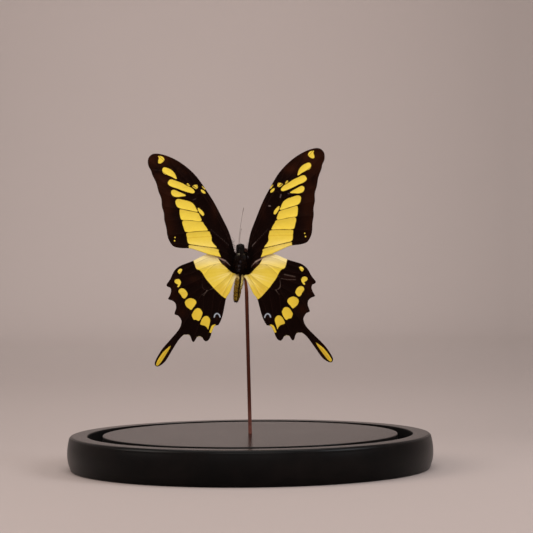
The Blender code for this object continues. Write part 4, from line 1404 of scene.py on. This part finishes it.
def abdomen_finish():
    finish, tree, shader = new_finish("abdomen_skin", (0.12, 0.06, 0.01, 1), 0.6, 0.04)
    turn, share = number_at_point(tree, "turn"), number_at_point(tree, "share")
    speckle = grain(tree, 1500.0, 4.0, 0.7)
    shaken = plus(tree, turn, times(tree, minus(tree, speckle, 0.5), 60.0))
    off = minus(tree, shaken, times(tree, share, STRIPE_DRIFT))
    stripe = soft_step(tree, maths(tree, "ABSOLUTE", off), 18.0, 11.0)
    right_side = soft_step(tree, off, 34.0, 50.0)
    pale_strip = times(tree, soft_step(tree, off, 12.0, 22.0), soft_step(tree, off, 50.0, 36.0))
    deep_olive, bright_olive = (0.085, 0.044, 0.003, 1), (0.31, 0.19, 0.012, 1)
    olive = blend_colours(tree, soft_step(tree, speckle, 0.38, 0.62), deep_olive, bright_olive)
    rust = soft_step(tree, grain(tree, 420.0, 3.0), 0.46, 0.62)
    colour = blend_colours(tree, times(tree, rust, 0.5), olive, (0.14, 0.055, 0.006, 1))
    pale_band = times(tree, pale_strip, soft_step(tree, share, 0.56, 0.42))
    colour = blend_colours(tree, times(tree, pale_band, 0.92), colour, (0.74, 0.62, 0.20, 1))
    colour = blend_colours(tree, soft_step(tree, share, 0.29, 0.14), colour, (0.56, 0.42, 0.15, 1))
    colour = blend_colours(tree, times(tree, right_side, 0.8), colour, (0.085, 0.038, 0.006, 1))
    colour = blend_colours(tree, times(tree, stripe, 0.97), colour, (0.010, 0.004, 0.001, 1))
    ring = maths(tree, "FRACT", times(tree, share, float(ABDOMEN_RINGS)))
    seam = times(tree, soft_step(tree, ring, 0.10, 0.0), 0.6)
    colour = blend_colours(tree, seam, colour, (0.02, 0.010, 0.004, 1))
    light_flecks = soft_step(tree, grain(tree, 2300.0, 1.0, 0.5, (1.0, 1.0, 0.7)), 0.58, 0.66)
    light_flecks = times(tree, light_flecks, minus(tree, 0.8, times(tree, stripe, 0.75)))
    colour = blend_colours(tree, light_flecks, colour, (0.40, 0.28, 0.07, 1))
    dark_flecks = soft_step(tree, grain(tree, 2000.0, 1.0, 0.5, (0.8, 1.0, 1.0)), 0.56, 0.63)
    dark_flecks = times(tree, dark_flecks, minus(tree, 0.85, times(tree, pale_band, 0.6)))
    colour = blend_colours(tree, dark_flecks, colour, (0.016, 0.008, 0.003, 1))
    tip = soft_step(tree, plus(tree, share, times(tree, speckle, 0.08)), 0.94, 0.99)
    colour = blend_colours(tree, tip, colour, (0.014, 0.007, 0.004, 1))
    gloss = stretched(tree, speckle, 0.48, 0.72)
    bump = raised(tree, speckle, 0.08, 0.7)
    bump = raised(tree, grain(tree, 6000.0, 2.0), 0.02, 0.4, bump)
    feed(tree, shader, base_color=colour, roughness=gloss, normal=bump)
    return finish


abdomen_points, abdomen_faces, abdomen_turns, abdomen_shares = abdomen_shape()
abdomen_shell = (abdomen_points, abdomen_faces, abdomen_finish())
abdomen = hand_in("abdomen_rings", *abdomen_shell, "abdomen_skin", ["abdomen"], SPECIMEN_PLACE)
paint(abdomen, "turn", abdomen_turns)
paint(abdomen, "share", abdomen_shares)


# %% Short hair on the abdomen
def abdomen_fur(count, draw):
    """Flat hairs that point at the tip, olive at the sides and black along the stripe."""
    pick = draw.choice(len(abdomen_points) - 2, count, replace=False)
    roots = abdomen_points[pick]
    axis = np.array(ABDOMEN_AXIS)[:, :3]
    middle = np.column_stack([np.interp(-roots[:, 2], -axis[:, 2], axis[:, k]) for k in range(3)])
    out = unit(roots - middle)
    aims = 0.4 * out + np.array((-0.15, 0.0, -1.0)) + draw.normal(0, 0.12, roots.shape)
    stripe = np.abs(abdomen_turns[pick] - STRIPE_DRIFT * abdomen_shares[pick]) < 21.0
    dark = stripe | (abdomen_shares[pick] > 0.93) | (draw.random(count) < 0.2)
    pale = np.where(abdomen_shares[pick][:, None] < 0.25, (0.50, 0.38, 0.16), (0.24, 0.15, 0.016))
    colours = np.where(dark[:, None], (0.012, 0.007, 0.003), pale) * draw.uniform(0.5, 1.4, (count, 1))
    return roots, aims, draw.uniform(0.2, 0.5, count), colours


grow("abdomen_fur", [abdomen_fur(2600, draw)], 0.018, (0.0, 0.0, 0.0), "abdomen_skin", draw)

# %% [markdown]
# ## Feelers, legs and tongue
# A feeler is a string of some sixty short joints that ends in a club. Here the left one stands up and the
# right one has bent back, away from the upper side. A leg is folded flat under the thorax
# and has a stout thigh, a thin shin with spines and a foot of small joints. The tongue lies rolled up like a
# watch spring. All of them are tubes whose thickness rises and falls once for each joint.

# %% Feelers
FEELER_ROUTES = {
    "left": [
        (-0.4, -1.1, 8.7), (-0.35, -1.35, 10.6), (0.05, -1.8, 14.0), (0.8, -2.4, 18.3),
        (1.7, -2.2, 22.8), (2.6, -1.6, 27.0),
    ],
    "right": [
        (0.5, -0.7, 8.7), (0.05, -0.3, 10.2), (0.2, 1.2, 12.2), (0.6, 5.4, 14.7), (0.9, 10.0, 16.2),
        (1.05, 15.0, 16.5),
    ],
}
FEELER_RADIUS = {"left": 0.065, "right": 0.085}
CLUB_RADIUS = {"left": 0.13, "right": 0.22}
FEELER_JOINTS = 58
RINGS_A_JOINT = 4
FEELER_SOCKET = (0.16, 0.24, 0.24, 0.18)


def even_path(route, count):
    """The smooth line through the route, cut into that many equal steps."""
    line = smooth_line(route, 0.1)
    run = np.concatenate([[0], np.cumsum(np.linalg.norm(np.diff(line, axis=0), axis=1))])
    stops = np.linspace(0, run[-1], count + 1)
    return np.column_stack([np.interp(stops, run, line[:, k]) for k in range(3)])


def feeler(side):
    rings = FEELER_JOINTS * RINGS_A_JOINT
    path = even_path(FEELER_ROUTES[side], rings)
    share = np.linspace(0, 1, rings + 1)
    club = np.exp(-(((share - 0.92) / 0.075) ** 2))
    joint = 1 + 0.1 * np.cos(2 * math.pi * np.arange(rings + 1) / RINGS_A_JOINT)
    round_end = np.sqrt(np.clip((1.012 - share) / 0.03, 0.05, 1))
    radii = (FEELER_RADIUS[side] + (CLUB_RADIUS[side] - FEELER_RADIUS[side]) * club) * joint * round_end
    radii[:len(FEELER_SOCKET)] = FEELER_SOCKET
    return tube(path, radii, 12)


feeler_horn = horn_finish("feeler_horn", (0.05, 0.034, 0.026, 1), (0.14, 0.10, 0.08, 1), 0.5, 0.2)
for side in ("left", "right"):
    hand_in(f"feeler_{side}", *feeler(side), feeler_horn, "dark_horn", [f"antenna_{side}"], SPECIMEN_PLACE)

# %% Legs
LEG_ROUTES = {
    "foreleg": [(-0.8, 4.3, 2.6), (-2.0, 5.3, 5.2), (-0.9, 6.2, 3.4), (-0.6, 6.4, 1.3)],
    "midleg": [(-1.1, 4.4, 0.2), (-3.0, 6.1, 1.9), (-1.8, 6.8, -1.4), (-1.4, 6.7, -4.0)],
    "hindleg": [(-0.9, 4.2, -2.4), (-2.9, 5.0, -4.6), (-2.2, 5.2, -8.2), (-1.7, 4.9, -11.0)],
}
LEG_PARTS = ((0.30, 0.18), (0.17, 0.11), (0.11, 0.07))
FOOT_JOINTS = 5


def leg_part(start, end, thick, thin, joints):
    """One straight part of a leg, swollen in its middle, or ringed where it has several joints."""
    path = np.linspace(start, end, 25)
    share = np.linspace(0, 1, 25)
    if joints == 1:
        swell = 0.8 + 0.2 * np.sin(math.pi * share)
    else:
        swell = 0.88 + 0.12 * np.abs(np.cos(math.pi * joints * share))
    return tube(path, (thick + (thin - thick) * share) * swell, 12)


def leg(name, side, draw):
    knots = np.array(LEG_ROUTES[name]) * ((1 if side == "left" else -1), 1, 1)
    shapes = []
    for start, end, (thick, thin), joints in zip(knots, knots[1:], LEG_PARTS, (1, 1, FOOT_JOINTS)):
        shapes.append(leg_part(start, end, thick, thin, joints))
    for knee, radius in zip(knots[1:3], (0.2, 0.13)):
        shapes.append(ellipsoid(knee, (radius,) * 3, 12, 10))
    on_shin = knots[1] + (knots[2] - knots[1]) * draw.random((40, 1))
    on_foot = knots[2] + (knots[3] - knots[2]) * draw.random((24, 1))
    roots = np.concatenate([on_shin, on_foot])
    aims = unit(draw.normal(size=roots.shape)) + unit(knots[3] - knots[1])
    spines = hairs(roots, aims, draw.uniform(0.2, 0.4, len(roots)), 0.02, np.zeros(3), draw)
    claws = hairs(
        np.repeat(knots[3:], 2, axis=0), np.array([(0.5, 0.3, -1.0), (-0.5, 0.3, -1.0)]),
        np.array([0.4, 0.4]), 0.04, np.array((0.0, -0.3, 0.0)), draw,
    )
    return joined(shapes + [spines, claws])


for name in LEG_ROUTES:
    for side in ("left", "right"):
        piece_name, solid = f"{name}_{side}_jointed", f"{name}_{side}"
        hand_in(piece_name, *leg(name, side, draw), dark_horn, "dark_horn", [solid], SPECIMEN_PLACE)

# %% Tongue
TONGUE_CENTRE = (0.1, 2.9, 7.3)
TONGUE_TURNS = 2.4


def tongue():
    share = np.linspace(0, 1, 220)
    turn = 2 * math.pi * TONGUE_TURNS * share
    reach = 1.0 - 0.75 * share
    coil = np.column_stack([0.06 * share, reach * np.cos(turn), reach * np.sin(turn)])
    return tube(coil + TONGUE_CENTRE, (0.12 - 0.06 * share) * (1 + 0.06 * np.cos(80 * math.pi * share)), 12)


hand_in("tongue", *tongue(), dark_horn, "dark_horn", ["proboscis"], SPECIMEN_PLACE)

# %% [markdown]
# ## The stage
# The object stands on a plain pale floor that sweeps up into a wall on every side. The paper's colour is
# graded:
# the floor is the darkest, it grows brighter high up the wall as painted light, and behind the object a
# painted shade falls off to both sides.

# %% Floor and sweep
PAPER_FLOOR = (0.345, 0.290, 0.272, 1)
PAPER_WALL = (0.528, 0.457, 0.433, 1)
PAPER_TOP_PAINTED_LIGHT = (0.80, 0.74, 0.73, 1)
PAPER_SHADE = (0.235, 0.200, 0.187, 1)
SHADE_FROM_Y = 1.1
SHADE_SHIFT = 0.027
SHADE_GROWTH = 18.0
MOST_SHADE = 0.4


FLOOR_RADIUS = 1.5
BEND = 0.9
WALL_TOP = 2.6
STAGE_STEPS = 96


def sweep_profile():
    turns = np.radians(np.linspace(4, 90, 24))
    profile = [(r, 0.0) for r in np.linspace(0.02, FLOOR_RADIUS, 24)]
    profile += [(FLOOR_RADIUS + BEND * math.sin(t), BEND - BEND * math.cos(t)) for t in turns]
    return profile + [(FLOOR_RADIUS + BEND, z) for z in np.linspace(BEND + 0.1, WALL_TOP, 8)]


def studio_paper():
    finish, tree, shader = new_finish("studio_paper", (0.46, 0.385, 0.35, 1), 0.9, 0.1)
    where = add_node(tree, "TexCoord").outputs["Object"]
    away = add_node(tree, "VectorMath", {0: where}, operation="LENGTH").outputs["Value"]
    tone = blend_colours(tree, soft_step(tree, away, 0.6, 1.95), PAPER_FLOOR, PAPER_WALL)
    axes = add_node(tree, "SeparateXYZ", {"Vector": where}).outputs
    # Painted light: the paper grows brighter high up the wall.
    tone = blend_colours(tree, soft_step(tree, axes["Z"], 0.55, 1.1), tone, PAPER_TOP_PAINTED_LIGHT)
    # Painted shade: behind the object the paper darkens towards both sides.
    across = maths(tree, "DIVIDE", axes["X"], plus(tree, axes["Y"], SHADE_FROM_Y))
    across = plus(tree, across, SHADE_SHIFT)
    shade = maths(tree, "MINIMUM", times(tree, times(tree, across, across), SHADE_GROWTH), MOST_SHADE)
    behind = soft_step(tree, axes["Y"], 0.0, 0.2)
    tone = blend_colours(tree, times(tree, shade, behind), tone, PAPER_SHADE)
    tone = blend_colours(tree, times(tree, grain(tree, 3.0, 2.0), 0.06), tone, (0.40, 0.33, 0.31, 1))
    feed(tree, shader, base_color=tone, normal=raised(tree, grain(tree, 300.0, 4.0), 0.05, 0.2))
    return finish


def make_stage():
    profile = sweep_profile()
    faces = [tuple(range(STAGE_STEPS))]
    for ring in range(len(profile) - 1):
        for k in range(STAGE_STEPS):
            a, b = ring * STAGE_STEPS + k, ring * STAGE_STEPS + (k + 1) % STAGE_STEPS
            faces.append((a, b, b + STAGE_STEPS, a + STAGE_STEPS))
    mesh = bpy.data.meshes.new("stage")
    mesh.from_pydata(ring_points(profile, STAGE_STEPS), [], faces)
    mesh.shade_smooth()
    mesh.materials.append(studio_paper())
    stage = bpy.data.objects.new("stage", mesh)
    bpy.context.scene.collection.objects.link(stage)


make_stage()

# %% [markdown]
# ## Light
# Soft light from above, from the front and from all round gives the scales their true colour. Two windows of
# light, a warm one on the left and a cooler one on the right, bring out the roundness of the body, the wire
# and the base.

# %% Soft lights
def soft_light(name, place, aim, size, power, colour):
    light = bpy.data.lights.new(name, "AREA")
    light.shape = "RECTANGLE"
    light.size, light.size_y = size
    light.energy = power
    light.color = colour
    lamp = bpy.data.objects.new(name, light)
    bpy.context.scene.collection.objects.link(lamp)
    lamp.location = place
    lamp.rotation_euler = (Vector(aim) - Vector(place)).to_track_quat("-Z", "Y").to_euler()
    lamp.visible_camera = False
    return lamp


LIGHTS = [
    ("window_left", (-1.35, -0.35, 1.0), (0, 0, 0.1), (0.9, 0.9), 13.0, (1.0, 0.93, 0.86)),
    ("window_right", (1.3, -0.55, 1.0), (0, 0, 0.1), (0.7, 0.7), 13.0, (0.9, 0.95, 1.0)),
    ("ceiling", (0.0, 0.3, 2.2), (0, 0, 0), (1.8, 1.8), 21.0, (1.0, 0.98, 0.96)),
    ("front", (0.0, -1.9, 1.5), (0, 0, 0.1), (1.8, 1.0), 22.5, (1.0, 0.98, 0.96)),
]
for light in LIGHTS:
    soft_light(*light)
print("lights:", [light[0] for light in LIGHTS])

world = bpy.data.worlds.new("room")
bpy.context.scene.world = world
world.use_nodes = True
room_light = world.node_tree.nodes["Background"]
room_light.inputs["Color"].default_value = (1.0, 0.95, 0.92, 1)
room_light.inputs["Strength"].default_value = 0.38
bpy.context.scene.view_settings.view_transform = "Standard"

# %% [markdown]
# ## The camera
# A long lens a little over a metre away, level with the insect, shows the wings without distortion and the
# top of the base as a thin oval.

# %% Camera
CAMERA_PLACE = Vector((-0.0018, -1.050, 0.1078))
CAMERA_PITCH = math.radians(-0.44)
CAMERA_YAW = math.radians(0.58)
CAMERA_ROLL = math.radians(0.51)
LENS_MM = 143.12
lens = bpy.data.cameras.new("camera")
lens.sensor_width = 36.0
lens.lens = LENS_MM
camera = bpy.data.objects.new("camera", lens)
bpy.context.scene.collection.objects.link(camera)
turn = Matrix.Rotation(-CAMERA_YAW, 4, "Z") @ Matrix.Rotation(math.pi / 2 + CAMERA_PITCH, 4, "X")
camera.matrix_world = Matrix.Translation(CAMERA_PLACE) @ turn @ Matrix.Rotation(-CAMERA_ROLL, 4, "Z")
bpy.context.scene.camera = camera
print("camera at", [round(value, 4) for value in CAMERA_PLACE])
